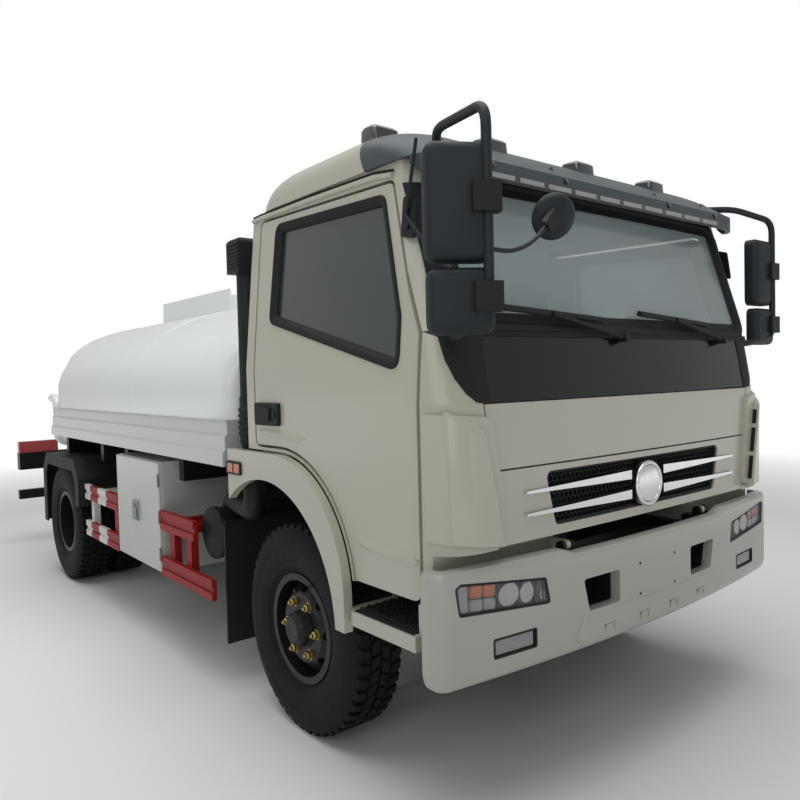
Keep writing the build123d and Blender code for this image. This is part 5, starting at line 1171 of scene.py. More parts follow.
COWL_FOOT = 1.361
BAND_START = -12.0
BAND_EDGE = (  # height, angle round the cab's corner where the black ends
    (1.3625, 1.0),
    (1.366, 6.7),
    (1.394, 18.2),
    (1.441, 28.5),
    (1.501, 36.2),
    (1.555, 40.5),
    (1.584, 42.6),
    (1.620, 43.0),
    (1.720, 44.0),
    (1.850, 47.0),
    (2.000, 53.0),
    (2.095, 56.0),
)
BAND_STEPS, BAND_PROUD, BAND_SINK = 10, 0.003, 0.004
SCUTTLE_HALF = 0.93
SCUTTLE = ((1.574, -0.005), (1.574, 0.002), (1.597, 0.003), (1.597, -0.004))  # height, proud
SKIN_NODES = ("cab_shell", "corner_panels", "cowl_panel")
SKIN_START, SKIN_RANGE, SKIN_TOLERANCE = 0.4, 0.3, 0.06
# Sections of the seals: outwards, proud.
SCREEN_SEAL = ((0.014, 0.0006), (0.012, 0.007), (-0.006, 0.007), (-0.016, -0.009), (-0.002, -0.0096))
SCREEN_BAND = ((-0.010, -0.0094), (-0.010, -0.0086), (-0.046, -0.0086), (-0.046, -0.0094))
REAR_SEAL = ((0.020, 0.0004), (0.018, 0.008), (-0.010, 0.008), (-0.020, -0.0096), (-0.004, -0.0098))
REAR_WINDOW, CAB_BACK = (-0.56, 1.64, 0.56, 1.98, 0.03), -0.27
GUTTER = ((-0.262, 2.128), (-0.2, 2.131), (0.2, 2.130), (0.60, 2.122), (0.70, 2.108))  # forward place, height


def back_at(x, z, proud):
    """Place on the cab's back wall."""
    return at(x, CAB_BACK - proud, z)


def screen_edge_turn(z):
    """Angle round the cab's corner of the windscreen's edge at a height."""
    share = (z - SCREEN[3][1]) / (SCREEN[2][1] - SCREEN[3][1])
    edge = SCREEN[3][0] + (SCREEN[2][0] - SCREEN[3][0]) * share
    return math.degrees(math.asin((edge - side_x(z) + NOSE_CORNER) / NOSE_CORNER))


def corner_skin(side, turn, z):
    """Place on the cab's rounded front corner and the way out of it, turned from ahead towards the side."""
    lean = (NOSE_REACH - SCREEN_REACH) / (SCREEN_BASE - COWL_FOOT)
    reach = NOSE_REACH - lean * (z - COWL_FOOT)
    if z >= SCREEN_BASE:
        reach = SCREEN_REACH - SCREEN_LEAN * (z - SCREEN_BASE)
    middle = side_x(z) - NOSE_CORNER
    forward = reach - bow(middle, CAB_HALF, NOSE_BOW) - NOSE_CORNER
    centre = at(side * (middle + NOSE_CORNER * min(turn, 0.0)), forward, z)
    out = Vector((side * math.sin(max(turn, 0.0)), -math.cos(max(turn, 0.0)), 0))
    near = NOSE_CORNER
    for name in SKIN_NODES:
        start = centre + out * SKIN_START
        hit, place, _, _ = frame["nodes"][name].ray_cast(start, -out, distance=SKIN_RANGE)
        if hit and abs((place - centre).length - NOSE_CORNER) < SKIN_TOLERANCE:
            near = max(near, (place - centre).length)
    return centre + out * near, out


class TRUCK_OT_screen(bpy.types.Operator):
    """Seals of the windscreen and the rear window, the black corners and scuttle, and the drip rails"""

    bl_idname = "truck.screen"
    bl_label = "Screen trim"

    def execute(self, context):
        outline = dense(rounded(SCREEN, 0.06))
        trim = Shape()
        for section in (SCREEN_SEAL, SCREEN_BAND):
            trim.rim(outline, section, screen_at)
        trim.rim(oblong(*REAR_WINDOW), REAR_SEAL, back_at)
        trim.done("screen_seals", "seal", "cab", "black_plastic", smooth=50)

        bands = Shape()
        for side in (-1, 1):
            rings = []
            for low, high in zip(BAND_EDGE, BAND_EDGE[1:]):
                for part in range(4):
                    z, last = Vector(low).lerp(Vector(high), part / 4)
                    first = BAND_START if z < SCREEN[0][1] else screen_edge_turn(z)
                    degrees = [first + (last - first) * step / BAND_STEPS for step in range(BAND_STEPS + 1)]
                    skin = [corner_skin(side, math.radians(turn), z) for turn in degrees]
                    face = [place + out * BAND_PROUD for place, out in skin]
                    rings.append(face + [place - out * BAND_SINK for place, out in skin[::-1]])
            bands.loft(rings)
        spots = [SCUTTLE_HALF * (step / 18 - 1) for step in range(37)]
        bands.loft([[screen_at(x, z, proud) for z, proud in SCUTTLE] for x in spots])
        bands.done("pillar_bands", "seal", "cab", "black_plastic", smooth=50)

        joint = Shape()
        joint.tube([at(-side_x(z) - 0.001, f, z + 0.014) for f, z in GUTTER], 0.006)
        joint.mirrored().done("gutter_joints", "seal", "cab", "black_plastic", smooth=60)
        rail = Shape()
        rail.tube([at(-side_x(z) - 0.004, f, z) for f, z in GUTTER], 0.010)
        rail.mirrored().done("drip_rails", "cab", "cab", "cab_paint", smooth=60)
        return {"FINISHED"}


STEP_REAR, STEP_FRONT, STEP_NEAR, STEP_OUT, STEP_TOP = 0.500, 0.846, 0.800, 1.056, 0.640
TREAD_PITCH, TREAD_BAR, TREAD_RISE = 0.034, 0.0022, 0.012


def tread_cross():
    """Two crossing bars of the grating."""
    cross = Shape()
    half = TREAD_PITCH / 2
    for slope in (-1, 1):
        ends = (Vector((-half, -half * slope, 0)), Vector((half, half * slope, 0)))
        aside = Vector((TREAD_BAR, -TREAD_BAR * slope, 0))
        edge = [end + aside for end in ends] + [end - aside for end in ends[::-1]]
        cross.loft([[place + UP * z for place in edge] for z in (0.0, TREAD_RISE)])
    return cross


class TRUCK_OT_steps(bpy.types.Operator):
    """Open tread grating on the steps, with the plate under it"""

    bl_idname = "truck.steps"
    bl_label = "Steps"

    def execute(self, context):
        sizes = {
            "Columns": int((STEP_OUT - STEP_NEAR - 0.04) / TREAD_PITCH),
            "Rows": int((STEP_FRONT - STEP_REAR - 0.03) / TREAD_PITCH),
            "Pitch": TREAD_PITCH,
            "Rise": TREAD_PITCH,
        }
        tread = Shape()
        half = (STEP_OUT - STEP_NEAR) / 2 - 0.008
        for side in (-1, 1):
            middle = side * (STEP_NEAR + STEP_OUT) / 2
            mesh = repeat("grid", tread_cross(), "plastic", Stagger=0.0, Half=1.0, Slant=0.0, **sizes)
            tread.add(mesh, Matrix.Translation(at(middle, (STEP_REAR + STEP_FRONT) / 2, STEP_TOP + 0.001)))
            front = at(middle - half, STEP_FRONT - 0.020, STEP_TOP)
            tread.block(front, at(middle + half, STEP_REAR + 0.008, STEP_TOP + 0.003))
        tread.done("step_treads", "plastic", "cab", "black_plastic", smooth=30)
        return {"FINISHED"}


SEATS = ((0.52, 0.26), (-0.42, 0.43))  # middle, half width
SEAT_FLOOR, SEAT_BACK, SEAT_BACK_HALF = 1.218, 0.70, 0.055
NARROW_CHANNELS, WIDE_CHANNELS = (-0.45, 0.45), (-0.6, 0.0, 0.6)
PAD_ACROSS, PAD_ALONG, PAD_FILL = 56, 18, 0.7
PAD_SIDE, PAD_FACE, PAD_END = 0.28, 0.42, 6  # powers that square the pad's section and its ends
SEAM_DEPTH, SEAM_WIDTH = 0.10, 0.05
DASH_VENTS = (-0.72, -0.30, 0.28, 0.78)


def cushion(shape, low, high, puff, channels):
    """Crowned pad between two corners, with sewn channels across its face."""
    half = (high - low) / 2
    middle = (low + high) / 2
    rings = []
    for row in range(PAD_ALONG + 1):
        v = -1 + 2 * row / PAD_ALONG
        pull = (1 - abs(v) ** PAD_END) ** 0.5
        ring = []
        for t in angles(PAD_ACROSS):
            c, s = math.cos(t), math.sin(t)
            x = math.copysign(abs(c) ** PAD_SIDE, c)
            z = math.copysign(abs(s) ** PAD_FACE, s)
            seam = 1 - SEAM_DEPTH * sum(math.exp(-(((x - line) / SEAM_WIDTH) ** 2)) for line in channels)
            crown = 1 + puff * (1 - x * x) * (1 - v * v)
            wide = x * half.x * (0.55 + 0.45 * pull)
            ring.append(middle + Vector((wide, v * half.y, z * half.z * (0.35 + 0.65 * pull) * seam * crown)))
        rings.append(ring)
    shape.loft(rings)


class TRUCK_OT_seats(bpy.types.Operator):
    """Cloth seats with sewn channels, and the dashboard's fittings"""

    bl_idname = "truck.seats"
    bl_label = "Cab inside"

    def execute(self, context):
        for index, (middle, half) in enumerate(SEATS):
            channels = NARROW_CHANNELS if half < 0.3 else WIDE_CHANNELS
            pad = Shape()
            low = at(middle - half, 0.30, SEAT_FLOOR + 0.004)
            high = at(middle + half, -0.075, SEAT_FLOOR + 0.138)
            cushion(pad, low, high, 0.06, channels)
            pad.done("seat_cushion_" + str(index), "cloth", "cab", "seat_cloth", smooth=70)
            back = Shape()
            corner = Vector((half, SEAT_BACK / 2, SEAT_BACK_HALF))
            cushion(back, -corner, corner, 0.10, channels)
            upright = Matrix.Translation(at(middle, -0.14, SEAT_FLOOR + 0.02 + SEAT_BACK / 2))
            back.mesh.transform(upright @ Matrix.Rotation(math.pi / 2, 4, "X"))
            back.done("seat_back_" + str(index), "cloth", "cab", "seat_cloth", smooth=70)
        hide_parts("seats")
        inside = Shape()
        for x in DASH_VENTS:
            inside.block(at(x - 0.07, 0.622, 1.455), at(x + 0.07, 0.600, 1.500))
        inside.block(at(0.30, 0.66, 1.535), at(0.74, 0.80, 1.585))
        inside.done("dash_fittings", "plastic", "cab", "black_plastic", 0.008)
        return {"FINISHED"}


MIRROR_LOW, MIRROR_HIGH, ARM_ROOT = 1.600, 2.165, 0.925
MIRRORS = (  # side, tube's distance from the middle, its reach, reach of the knees, turn of the heads
    (-1, 1.075, 1.212, 0.960, 0.900, math.radians(30)),
    (1, 1.2197, 0.925, 0.905, 0.860, math.radians(180)),
)
MIRROR_HEADS = (  # bottom, top, width, thickness
    (1.752, 2.068, 0.186, 0.062),
    (1.560, 1.737, 0.182, 0.056),
)
# Share of the thickness and inset of the outline, from a head's front to its back.
MIRROR_BACK = ((0.0, 0.004), (0.006, 0.0), (0.62, 0.0), (0.80, 0.004), (0.92, 0.011), (1.0, 0.022))
MIRROR_FRONT, MIRROR_R, PANE_INSET, PANE_R = 0.92, 0.034, 0.012, 0.026
ARM_R, ARM_BEND, ARM_DROP, ARM_RISE = 0.0145, 0.06, 0.036, 0.040
ARM_LOW_F, ARM_HIGH_F, HEAD_OVERLAP = 0.860, 0.750, 0.02
ARM_FOOT = Vector((0.026, 0.022, 0.026))
CLAMP_HEIGHTS, CLAMP_HALF = (1.919, 1.658), 0.040
CLAMP_CORNERS = ((-0.034, -0.022), (0.044, -0.022), (0.044, 0.020), (-0.034, 0.020))
PILLAR_PLATE = ((0.762, 1.895), (0.828, 1.880), (0.815, 2.010), (0.765, 2.025))
PLATE_BOLT = ((0.0, 0.011), (0.007, 0.011), (0.009, 0.007))
ROUND_MIRROR, ROUND_FACING = (-0.745, 1.165, 1.914), Vector((-0.36, -0.86, -0.36)).normalized()
ROUND_DOME = (  # along the way it faces, radius
    (-0.010, 0.062),
    (-0.006, 0.070),
    (0.004, 0.068),
    (0.014, 0.058),
    (0.022, 0.036),
    (0.025, 0.001),
)
ROUND_PANE = ((-0.0115, 0.058), (-0.0095, 0.058))
ROUND_STAY = ((-1.066, 1.212, 1.784), (-0.985, 1.214, 1.783), (-0.890, 1.206, 1.818))
STAY_PAD = ((-0.022, -0.012), (0.022, -0.012), (0.022, 0.016), (-0.022, 0.016))


def mirror_arm(arms, side, tube_x, reach, low_knee, high_knee):
    """Bent tube of one side's mirrors, with a foot at each end."""
    route = (
        (ARM_ROOT, ARM_LOW_F, MIRROR_LOW - ARM_DROP),
        (ARM_ROOT + (tube_x - ARM_ROOT) * 0.2, low_knee, MIRROR_LOW - ARM_DROP),
        (tube_x, reach, MIRROR_LOW),
        (tube_x, reach, MIRROR_HIGH),
        (ARM_ROOT + 0.040, high_knee, MIRROR_HIGH + ARM_RISE),
        (ARM_ROOT - 0.090, ARM_HIGH_F, MIRROR_HIGH + ARM_RISE),
    )
    path = [at(side * x, f, z) for x, f, z in route]
    arms.tube(bent(path, ARM_BEND), ARM_R, 16)
    for foot in (path[0], path[-1]):
        arms.block(foot - ARM_FOOT, foot + ARM_FOOT)


def mirror_head(arms, panes, tube, out, back, head):
    """One head's shell and its glass, from the tube outwards, with the glass towards the back."""
    low, high, width, thick = head
    middle = tube + UP * ((low + high) / 2) + out * (width / 2 - HEAD_OVERLAP)
    a, b = width / 2, (high - low) / 2
    rings = []
    for share, inset in MIRROR_BACK:
        edge = oblong(inset - a, inset - b, a - inset, b - inset, MIRROR_R - inset / 2)
        depth = back * (thick * (MIRROR_FRONT - share))
        rings.append([middle + out * p.x + UP * p.y + depth for p in edge])
    arms.loft(rings)
    edge = oblong(PANE_INSET - a, PANE_INSET - b, a - PANE_INSET, b - PANE_INSET, PANE_R)
    face = middle + back * thick * MIRROR_FRONT
    panes.loft([[face + out * p.x + UP * p.y + back * d for p in edge] for d in (-0.002, 0.0015)])


def round_mirror(arms, panes, clamps):
    """The round close-view mirror with its stay and the pad that holds it."""
    hub = at(*ROUND_MIRROR)
    arms.lathe(ROUND_DOME, hub, ROUND_FACING, 36)
    panes.lathe(ROUND_PANE, hub, ROUND_FACING, 36)
    elbow = hub + Vector((-0.062, -0.030, -0.030))
    arms.tube(bent([*(at(*place) for place in ROUND_STAY), elbow], 0.05), 0.0065, 10)
    aside = Vector((0.70, 0.10, 0.70)).normalized()
    across = aside.cross(ROUND_FACING).normalized()
    rings = []
    for along in (-0.034, 0.034):
        middle = elbow + Vector((0.018, 0.004, 0.010)) + aside * along
        rings.append([middle + across * a + ROUND_FACING * b for a, b in STAY_PAD])
    clamps.loft(rings)


class TRUCK_OT_mirrors(bpy.types.Operator):
    """Mirrors: bent tubes with two heads each, their clamps and glasses, and the round close-view mirror"""

    bl_idname = "truck.mirrors"
    bl_label = "Mirrors"

    def execute(self, context):
        arms = Shape()
        clamps = Shape()
        panes = Shape()
        for side, tube_x, reach, low_knee, high_knee, turn in MIRRORS:
            mirror_arm(arms, side, tube_x, reach, low_knee, high_knee)
            tube = at(side * tube_x, reach, 0)
            out = Vector((side * math.cos(turn), math.sin(turn), 0))
            back = Vector((-side * abs(math.sin(turn)), abs(math.cos(turn)), 0))
            for head in MIRROR_HEADS:
                mirror_head(arms, panes, tube, out, back, head)
            edge = [tube + out * a + back * b for a, b in CLAMP_CORNERS]
            for z in CLAMP_HEIGHTS:
                ends = (z - CLAMP_HALF, z + CLAMP_HALF)
                clamps.loft([[place + UP * end for place in edge] for end in ends])
        round_mirror(arms, panes, clamps)
        piece = arms.done("mirror_arms", "mirror_shell", "cab", "black_plastic", smooth=42)
        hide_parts("mirrors")

        plate = rounded(PILLAR_PLATE, 0.012)
        for side, to_place in ((-1, right_side), (1, left_side)):
            clamps.plate(plate, -0.004, 0.007, to_place)
            for z in (1.925, 1.985):
                clamps.lathe(PLATE_BOLT, to_place(0.795, z, 0.006), Vector((side, 0, 0)), 6)
        low_cable = [right_side(0.790, 1.955, 0.012), at(-1.0, 0.90, 1.83), at(-1.062, 1.196, 1.64)]
        clamps.tube(low_cable, 0.008)
        high_cable = [right_side(0.790, 1.960, 0.012), right_side(0.815, 2.060, 0.020), at(-0.99, 0.83, 2.19)]
        clamps.tube(high_cable, 0.006)
        clamps.done("mirror_clamps", "plastic", "cab", "black_plastic", 0.006)
        panes.done("mirror_panes", "mirror", "cab", "chrome")
        return {"FINISHED"}


ROOF_ROWS = (  # height, half width, rear, front, corner radius
    (2.150, 0.990, -0.270, 0.890, 0.190),
    (2.232, 0.981, -0.218, 0.770, 0.220),
    (2.300, 0.882, -0.110, 0.625, 0.220),
    (2.335, 0.600, 0.050, 0.440, 0.190),
)
ROOF_STEPS, ROOF_CROWN = 14, ((0.75, 2.339), (0.45, 2.342), (0.12, 2.343))  # share of the last row, height
VISOR_BASE, VISOR_CROWN, VISOR_SEAM, VISOR_PROUD = 0.560, 0.430, 0.006, 0.004
SEAM_LOW, SEAM_RISE = 2.15, 0.33
VISOR_LIP, VISOR_LIP_BACK, VISOR_LIP_WALL, VISOR_LIP_TOP = 2.092, 0.765, 0.014, 2.152
STRIP_LAMPS, STRIP_START, STRIP_PITCH, STRIP_HALF = 10, -0.675, 0.15, 0.062
VISOR_BOLTS, VISOR_BOLT = (-0.72, -0.34, 0.34, 0.72), ((-0.012, 0.011), (0.002, 0.011), (0.004, 0.007))
ROOF_LAMP_FORM = (  # height from the top, half width, half depth, lean
    (-0.080, 0.056, 0.050, 0.0),
    (-0.016, 0.054, 0.046, 0.002),
    (-0.004, 0.048, 0.036, 0.006),
    (0.0, 0.038, 0.026, 0.008),
)
MARKER_BEZEL = ((0.004, 0.0), (0.003, 0.010), (-0.005, 0.010), (-0.006, 0.0))  # outwards, proud
MARKER_CELLS = ((-0.391, -0.335), (-0.330, -0.274))
FENDER_X = -1.074
ROOF_LAMPS = (  # x, forward place, top
    (-0.860, 0.480, 2.345),
    (-0.520, 0.690, 2.308),
    (0.0, 0.690, 2.308),
    (0.520, 0.690, 2.308),
    (0.860, 0.480, 2.345),
)


def roof_row(share):
    """Sizes of the roof at a share of its rise, on the curve through its rows."""
    spots = [index / (len(ROOF_ROWS) - 1) for index in range(len(ROOF_ROWS))]
    sizes = [0.0] * len(ROOF_ROWS[0])
    for spot, row in zip(spots, ROOF_ROWS):
        weight = math.prod((share - other) / (spot - other) for other in spots if other != spot)
        sizes = [size + weight * value for size, value in zip(sizes, row)]
    return sizes


def roof_edge(half, rear, front, corner):
    """Plan outline of the roof."""
    return rounded([(-half, rear), (-half, front), (half, front), (half, rear)], corner, 12)


def roof_solid(grow):
    """Closed roof, larger by a little."""
    solid = Shape()
    rings = []
    for step in range(ROOF_STEPS + 1):
        height, half, rear, front, corner = roof_row(step / ROOF_STEPS)
        edge = roof_edge(half + grow, rear - grow, front + grow, corner)
        rings.append([at(p.x, p.y, height) for p in edge])
    middle = at(0, (ROOF_ROWS[-1][2] + ROOF_ROWS[-1][3]) / 2, 0).xy
    for share, height in ROOF_CROWN:
        rings.append([Vector((*(middle + (p.xy - middle) * share), height)) for p in rings[ROOF_STEPS]])
    return solid.loft(rings)


def split(shape, forward, keep_front):
    """Cuts a shape along the visor's seam and closes it again."""
    ahead = Vector((0, -SEAM_RISE, VISOR_BASE - VISOR_CROWN))
    cells = shape.mesh.verts[:] + shape.mesh.edges[:] + shape.mesh.faces[:]
    side = {"clear_inner": keep_front, "clear_outer": not keep_front}
    seam = at(0, forward, SEAM_LOW)
    bmesh.ops.bisect_plane(shape.mesh, geom=cells, plane_co=seam, plane_no=ahead, **side)
    bmesh.ops.holes_fill(shape.mesh, edges=[edge for edge in shape.mesh.edges if edge.is_boundary])
    return shape


def fender_side(forward, z, proud=0.0):
    """Place on the right fender's side."""
    return at(FENDER_X - proud, forward, z)


def visor_lip(visor):
    """Lip that hangs from the visor's front edge and runs out round its corners."""
    foot, half, rear, front, corner = ROOF_ROWS[0]
    wall = VISOR_LIP_WALL
    outer = roof_edge(half + VISOR_PROUD, rear, front + VISOR_PROUD, corner)
    inner = roof_edge(half - wall, rear, front - wall, corner - wall)
    rings = []
    for out, back in zip(outer, inner):
        if out.y > VISOR_LIP_BACK:
            drop = min((out.y - VISOR_LIP_BACK) / 0.06, 1.0)
            low = foot - (foot - VISOR_LIP) * (0.15 + 0.85 * drop)
            section = ((out, low), (out, VISOR_LIP_TOP), (back, VISOR_LIP_TOP), (back, low))
            rings.append([at(p.x, p.y, z) for p, z in section])
    visor.loft(rings)


def roof_lamp(shape, x, forward, top):
    """One lamp on the roof."""
    rings = []
    for height, width, depth, lean in ROOF_LAMP_FORM:
        edge = oblong(-width, -depth, width, depth, 0.016, 4)
        rings.append([at(x + p.x, forward - lean + p.y, top + height) for p in edge])
    shape.loft(rings)


class TRUCK_OT_roof(bpy.types.Operator):
    """Roof cap, dark visor with its lip, bolts and light strip, lamps on top and the fenders' markers"""

    bl_idname = "truck.roof"
    bl_label = "Roof"

    def execute(self, context):
        cap = split(roof_solid(0.0), VISOR_BASE - VISOR_SEAM, False)
        piece = cap.done("roof_cap", "cab", "cab", "cab_paint", smooth=38)
        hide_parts("roof")
        visor = split(roof_solid(VISOR_PROUD), VISOR_BASE, True)
        visor_lip(visor)
        piece = visor.done("visor", "visor", "cab", "visor_plastic", smooth=38)
        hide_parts("roof_visor")

        foot, front = ROOF_ROWS[0][0], ROOF_ROWS[0][3]
        face = front + VISOR_PROUD
        strip = Shape()
        for step in range(STRIP_LAMPS):
            x = STRIP_START + step * STRIP_PITCH
            strip.block(at(x - STRIP_HALF, face + 0.004, 2.098), at(x + STRIP_HALF, face - 0.002, 2.114))
        strip.done("visor_light_strip", "pale", "cab", "lamp_clear", 0.002)
        dark = Shape()
        dark.block(at(-0.76, face + 0.002, 2.094), at(0.76, face - 0.002, 2.118))
        for x in VISOR_BOLTS:
            for z, proud in ((2.139, 0.003), (2.196, 0.0)):
                reach = roof_row((z - foot) / 0.26)[3] if z > foot else front
                spot = at(x, reach + VISOR_PROUD + proud, z)
                dark.lathe(VISOR_BOLT, spot, Vector((0, -1, 0.3)), 12)
        for x, forward, top in ROOF_LAMPS:
            roof_lamp(dark, x, forward, top)
        dark.done("roof_lamps", "smoked", "cab", "black_plastic", smooth=40)

        amber = Shape()
        bezel = Shape()
        bezel.rim(oblong(-0.395, 1.047, -0.270, 1.097, 0.008), MARKER_BEZEL, fender_side)
        bezel.block(fender_side(-0.329, 1.048, 0.0), fender_side(-0.336, 1.096, 0.010))
        for back, ahead in MARKER_CELLS:
            amber.plate(oblong(back, 1.051, ahead, 1.093, 0.006), 0.0, 0.009, fender_side)
        amber.mirrored()
        bezel.mirrored().done("marker_bezels", "plastic", "cab", "black_plastic", smooth=40)
        piece = amber.done("fender_markers", "amber", "cab", "lamp_amber", smooth=40)
        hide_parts("marker_lamps")
        return {"FINISHED"}


STACK_X, STACK_F, STACK_FOOT, STACK_TOP, STACK_OUT = -0.955, -0.39, 1.20, 2.077, -1.025
BELLOWS_FOLDS, BELLOWS_PITCH, BELLOWS_IN, BELLOWS_OUT = 5, 0.026, 0.054, 0.062
LOUVRES, LOUVRE_PITCH, LOUVRE_HALF = 7, 0.016, 0.050
CLEANER_LID = (-0.986, -0.775, 0.705)
LID_FORM = ((0.0, 0.124), (0.004, 0.120), (0.006, 0.060), (0.010, 0.055), (0.011, 0.001))  # outwards, radius


class TRUCK_OT_intake(bpy.types.Operator):
    """Bellows, clamps and louvres of the air intake, and the cleaner's lid"""

    bl_idname = "truck.intake"
    bl_label = "Air intake"

    def execute(self, context):
        intake = Shape()
        foot = at(STACK_X, STACK_F, STACK_FOOT)
        folds = [(0.0, BELLOWS_IN)]
        for fold in range(BELLOWS_FOLDS):
            rise = fold * BELLOWS_PITCH
            folds += [(0.014 + rise, BELLOWS_OUT), (0.027 + rise, BELLOWS_IN)]
        intake.lathe([(-0.04, 0.050), *folds, (0.18, 0.050)], foot, UP, 28)
        for height in (-0.025, 0.165):
            intake.lathe([(height - 0.008, 0.0535), (height + 0.008, 0.0535)], foot, UP, 28)
        for slat in range(LOUVRES):
            z = STACK_TOP - 0.130 + slat * LOUVRE_PITCH
            front = at(STACK_OUT - 0.004, STACK_F + LOUVRE_HALF, z)
            intake.block(front, at(STACK_OUT + 0.002, STACK_F - LOUVRE_HALF, z + 0.007))
        intake.lathe(LID_FORM, at(*CLEANER_LID), Vector((-1, 0, 0)), 36)
        intake.done("intake_fittings", "plastic", "chassis", "black_plastic", smooth=45)
        return {"FINISHED"}


WELD_MIDDLE, WELD_ENDS = -1.75, (-0.61, -3.53)
WELD_BEAD = ((-0.002, -0.009), (0.0025, -0.004), (0.0025, 0.004), (-0.002, 0.009))  # outwards, along
MANHOLE, MANHOLE_BOLTS, MANHOLE_BOLT_R = (0, -2.45, 2.0), 8, 0.296
LATCH, HINGE_HEIGHTS, HINGE_HALF, HINGE_R = (-1.073, -1.635, 0.7165), (0.52, 0.72, 0.92), 0.035, 0.0055
HINGE = (JOINTS["cabinet_door_hinge"]["pos_m"][0], AXLE_Y - JOINTS["cabinet_door_hinge"]["pos_m"][1])
FLANK_HALF, FLANK_Z, FLANK_RISE, FLANK_FOOT, FLANK_TOP, FLANK_ROOT = 1.043, 1.40, 0.53, 1.262, 1.742, 0.60
FLANK_ENDS = (  # forward place, share of the width
    (-0.505, 0.55),
    (-0.520, 0.80),
    (-0.550, 0.92),
    (-0.600, 0.98),
    (-0.680, 1.0),
    (-3.300, 1.0),
    (-3.400, 0.98),
    (-3.465, 0.92),
    (-3.510, 0.80),
    (-3.532, 0.55),
)


def flank_x(z):
    """Half width of the tank's flank at a height."""
    return FLANK_HALF * math.sqrt(1 - (max(z - FLANK_Z, 0.0) / FLANK_RISE) ** 2)


class TRUCK_OT_tank(bpy.types.Operator):
    """The tank's flanks and weld beads, the manhole's swing bolts and the cabinet's latch and hinges"""

    bl_idname = "truck.tank"
    bl_label = "Tank fittings"

    def execute(self, context):
        beads = Shape()
        for forward in (WELD_ENDS[0], WELD_MIDDLE, WELD_ENDS[1]):
            rings = []
            for turn in angles(96):
                spoke = Vector((math.cos(turn), 0, math.sin(turn)))
                x, z = TANK_HALF * math.cos(turn), TANK_Z + TANK_RISE * math.sin(turn)
                if forward == WELD_MIDDLE and FLANK_FOOT < z < FLANK_TOP:
                    x = math.copysign(flank_x(z), x)
                foot = at(x, forward, z)
                rings.append([foot + spoke * out - AHEAD * along for out, along in WELD_BEAD])
            beads.loft(rings, looped=True)
        beads.done("weld_beads", "tank", "chassis", "tank_paint", smooth=60)

        flanks = Shape()
        rings = []
        heights = [FLANK_FOOT + (FLANK_TOP - FLANK_FOOT) * step / 16 for step in range(17)]
        edge = [(FLANK_ROOT, FLANK_FOOT), *((flank_x(z), z) for z in heights), (FLANK_ROOT, 1.45)]
        for forward, share in FLANK_ENDS:
            rings.append([at(-FLANK_ROOT - (x - FLANK_ROOT) * share, forward, z) for x, z in edge])
        flanks.loft(rings)
        flanks.mirrored().done("tank_flanks", "tank", "chassis", "tank_paint", smooth=50)

        bolt = Shape()
        bolt.bar(UP * -0.05, UP * 0.045, 0.008, 10)
        bolt.lathe([(0.018, 0.017), (0.034, 0.017)], ORIGIN, UP, 6)
        bolt.lathe([(-0.062, 0.012), (-0.040, 0.012)], ORIGIN, UP, 10)
        phase = math.pi / MANHOLE_BOLTS
        ring = repeat("ring", bolt, "steel", Count=MANHOLE_BOLTS, Radius=MANHOLE_BOLT_R, Phase=phase)
        clamps = Shape()
        clamps.add(ring, Matrix.Translation(at(*MANHOLE)))
        clamps.done("manhole_bolts", "steel", "chassis", "steel", smooth=30)

        latch = Shape()
        middle = at(*LATCH)
        latch.block(middle + Vector((-0.003, -0.046, -0.056)), middle + Vector((0.004, 0.046, 0.056)))
        latch.block(middle + Vector((-0.008, -0.030, -0.044)), middle + Vector((0.0, 0.030, 0.020)))
        latch.bar(middle + Vector((0.0, 0, 0.036)), middle + Vector((-0.008, 0, 0.036)), 0.011, 16)
        for z in HINGE_HEIGHTS:
            latch.bar(at(*HINGE, z - HINGE_HALF), at(*HINGE, z + HINGE_HALF), HINGE_R, 12)
        latch.done("cabinet_latch", "steel", "cabinet_door", "steel", 0.002)
        return {"FINISHED"}


FLOOR_HALF, FLOOR_DEPTH, GLOW_START, GLOW_RANGE = 40, 0.02, 5.0, 5.0
STUDIO_LAMPS = (  # name, place, aim, size, watts
    ("sky", (-1.0, -1.0, 9.0), (0, 0, 0), 9.0, 590.0),
    ("key", (-7.0, -7.5, 5.0), (0, 0, 1.0), 5.0, 105.0),
)
CAMERA_PLACE, CAMERA_TURN = (-2.466, -4.299, 1.457), (0.6779, -0.0349, -0.0252)  # turn as yaw, pitch, roll
SENSOR, FOCAL = 36.0, 32.46


def pale_floor():
    """Finish of the floor, which glows like the backdrop far from the truck."""
    pale = Finish("pale_floor", roughness=0.9, specular_ior_level=0.1)
    pale.set("Base Color", (pale.noise(0.4) * 0.08).mixed((0.90, 0.90, 0.90, 1), (0.86, 0.86, 0.86, 1)))
    spread = pale.place.node("ShaderNodeVectorMath", {"operation": "LENGTH"}, {0: pale.place}, "Value")
    far = ((spread - GLOW_START) / GLOW_RANGE).held()
    glow = far.node("ShaderNodeEmission", {}, {"Strength": 1.0})
    surface = Signal(pale.tree, pale.surface.outputs[0])
    blend = far.node("ShaderNodeMixShader", {}, {0: far, 1: surface, 2: glow})
    pale.tree.links.new(blend.socket, pale.tree.nodes["Material Output"].inputs["Surface"])
    return pale.material


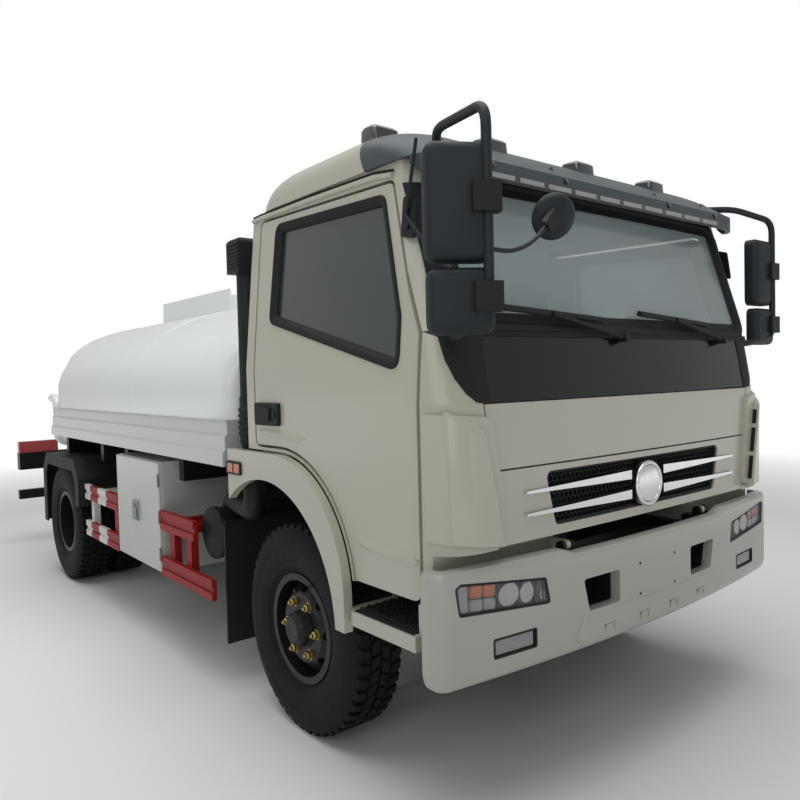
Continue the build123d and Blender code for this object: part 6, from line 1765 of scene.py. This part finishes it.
def light_studio(scene):
    """White backdrop, brighter to the camera than to the truck, and the soft lamps."""
    world = bpy.data.worlds.new("studio")
    scene.world = world
    world.use_nodes = True
    backdrop = world.node_tree.nodes["Background"]
    rays = world.node_tree.nodes.new("ShaderNodeLightPath").outputs
    kinds = ("Is Camera Ray", "Is Glossy Ray", "Is Transmission Ray")
    seen, shine, through = (Signal(world.node_tree, rays[kind]) for kind in kinds)
    strength = seen * 0.78 + shine * 0.30 + through * 0.40 + 0.22
    world.node_tree.links.new(strength.socket, backdrop.inputs["Strength"])
    backdrop.inputs["Color"].default_value = (1, 1, 1, 1)
    for name, place, aim, size, watts in STUDIO_LAMPS:
        data = bpy.data.lights.new(name, "AREA")
        data.size = size
        data.energy = watts
        lamp = bpy.data.objects.new(name, data)
        scene.collection.objects.link(lamp)
        lamp.location = place
        lamp.rotation_mode = "QUATERNION"
        lamp.rotation_quaternion = (Vector(aim) - Vector(place)).to_track_quat("-Z", "Y")


def place_camera(scene):
    """Camera ahead of the truck's right corner."""
    yaw, pitch, roll = CAMERA_TURN
    ahead = Vector((math.sin(yaw) * math.cos(pitch), math.cos(yaw) * math.cos(pitch), math.sin(pitch)))
    right = Vector((math.cos(yaw), -math.sin(yaw), 0))
    up = right.cross(ahead)
    across = right * math.cos(roll) + up * math.sin(roll)
    above = up * math.cos(roll) - right * math.sin(roll)
    data = bpy.data.cameras.new("camera")
    data.sensor_width = SENSOR
    data.lens = FOCAL
    camera = bpy.data.objects.new("camera", data)
    scene.collection.objects.link(camera)
    turn = Matrix((across, above, -ahead)).transposed().to_4x4()
    camera.matrix_world = Matrix.Translation(Vector(CAMERA_PLACE)) @ turn
    scene.camera = camera


class TRUCK_OT_stage(bpy.types.Operator):
    """Pale floor, soft light and the camera"""

    bl_idname = "truck.stage"
    bl_label = "Stage"

    def execute(self, context):
        scene = context.scene
        scene.view_settings.view_transform = "Standard"
        floor = Shape()
        floor.block(Vector((-FLOOR_HALF, -FLOOR_HALF, -FLOOR_DEPTH)), Vector((FLOOR_HALF, FLOOR_HALF, 0)))
        mesh = bpy.data.meshes.new("floor")
        floor.mesh.to_mesh(mesh)
        floor.mesh.free()
        mesh.materials.append(pale_floor())
        ground = bpy.data.objects.new("floor", mesh)
        scene.collection.objects.link(ground)
        light_studio(scene)
        place_camera(scene)
        return {"FINISHED"}


STEPS = (
    TRUCK_OT_finishes,
    TRUCK_OT_tyres,
    TRUCK_OT_wheels,
    TRUCK_OT_lamps,
    TRUCK_OT_bumper,
    TRUCK_OT_grille,
    TRUCK_OT_deflectors,
    TRUCK_OT_doors,
    TRUCK_OT_screen,
    TRUCK_OT_steps,
    TRUCK_OT_seats,
    TRUCK_OT_mirrors,
    TRUCK_OT_roof,
    TRUCK_OT_intake,
    TRUCK_OT_tank,
    TRUCK_OT_stage,
)


class TRUCK_PT_sidebar(bpy.types.Panel):
    """Lists the truck's colours, sizes and pieces"""

    bl_idname = "TRUCK_PT_sidebar"
    bl_label = "Tank truck"
    bl_space_type = "VIEW_3D"
    bl_region_type = "UI"
    bl_category = "Truck"

    def draw(self, context):
        for group in (context.scene.truck_paint, context.scene.truck_fittings):
            for name in group.__annotations__:
                self.layout.prop(group, name)
        for step in STEPS:
            self.layout.operator(step.bl_idname)


CLASSES = (TruckPaint, TruckFittings, *STEPS, TRUCK_PT_sidebar)


def register():
    for cls in CLASSES:
        bpy.utils.register_class(cls)
    bpy.types.Scene.truck_paint = PointerProperty(type=TruckPaint)
    bpy.types.Scene.truck_fittings = PointerProperty(type=TruckFittings)


def unregister():
    del bpy.types.Scene.truck_fittings
    del bpy.types.Scene.truck_paint
    for cls in reversed(CLASSES):
        bpy.utils.unregister_class(cls)


def main():
    register()
    for step in STEPS:
        family, name = step.bl_idname.split(".")
        getattr(getattr(bpy.ops, family), name)()


if __name__ == "__main__":
    main()
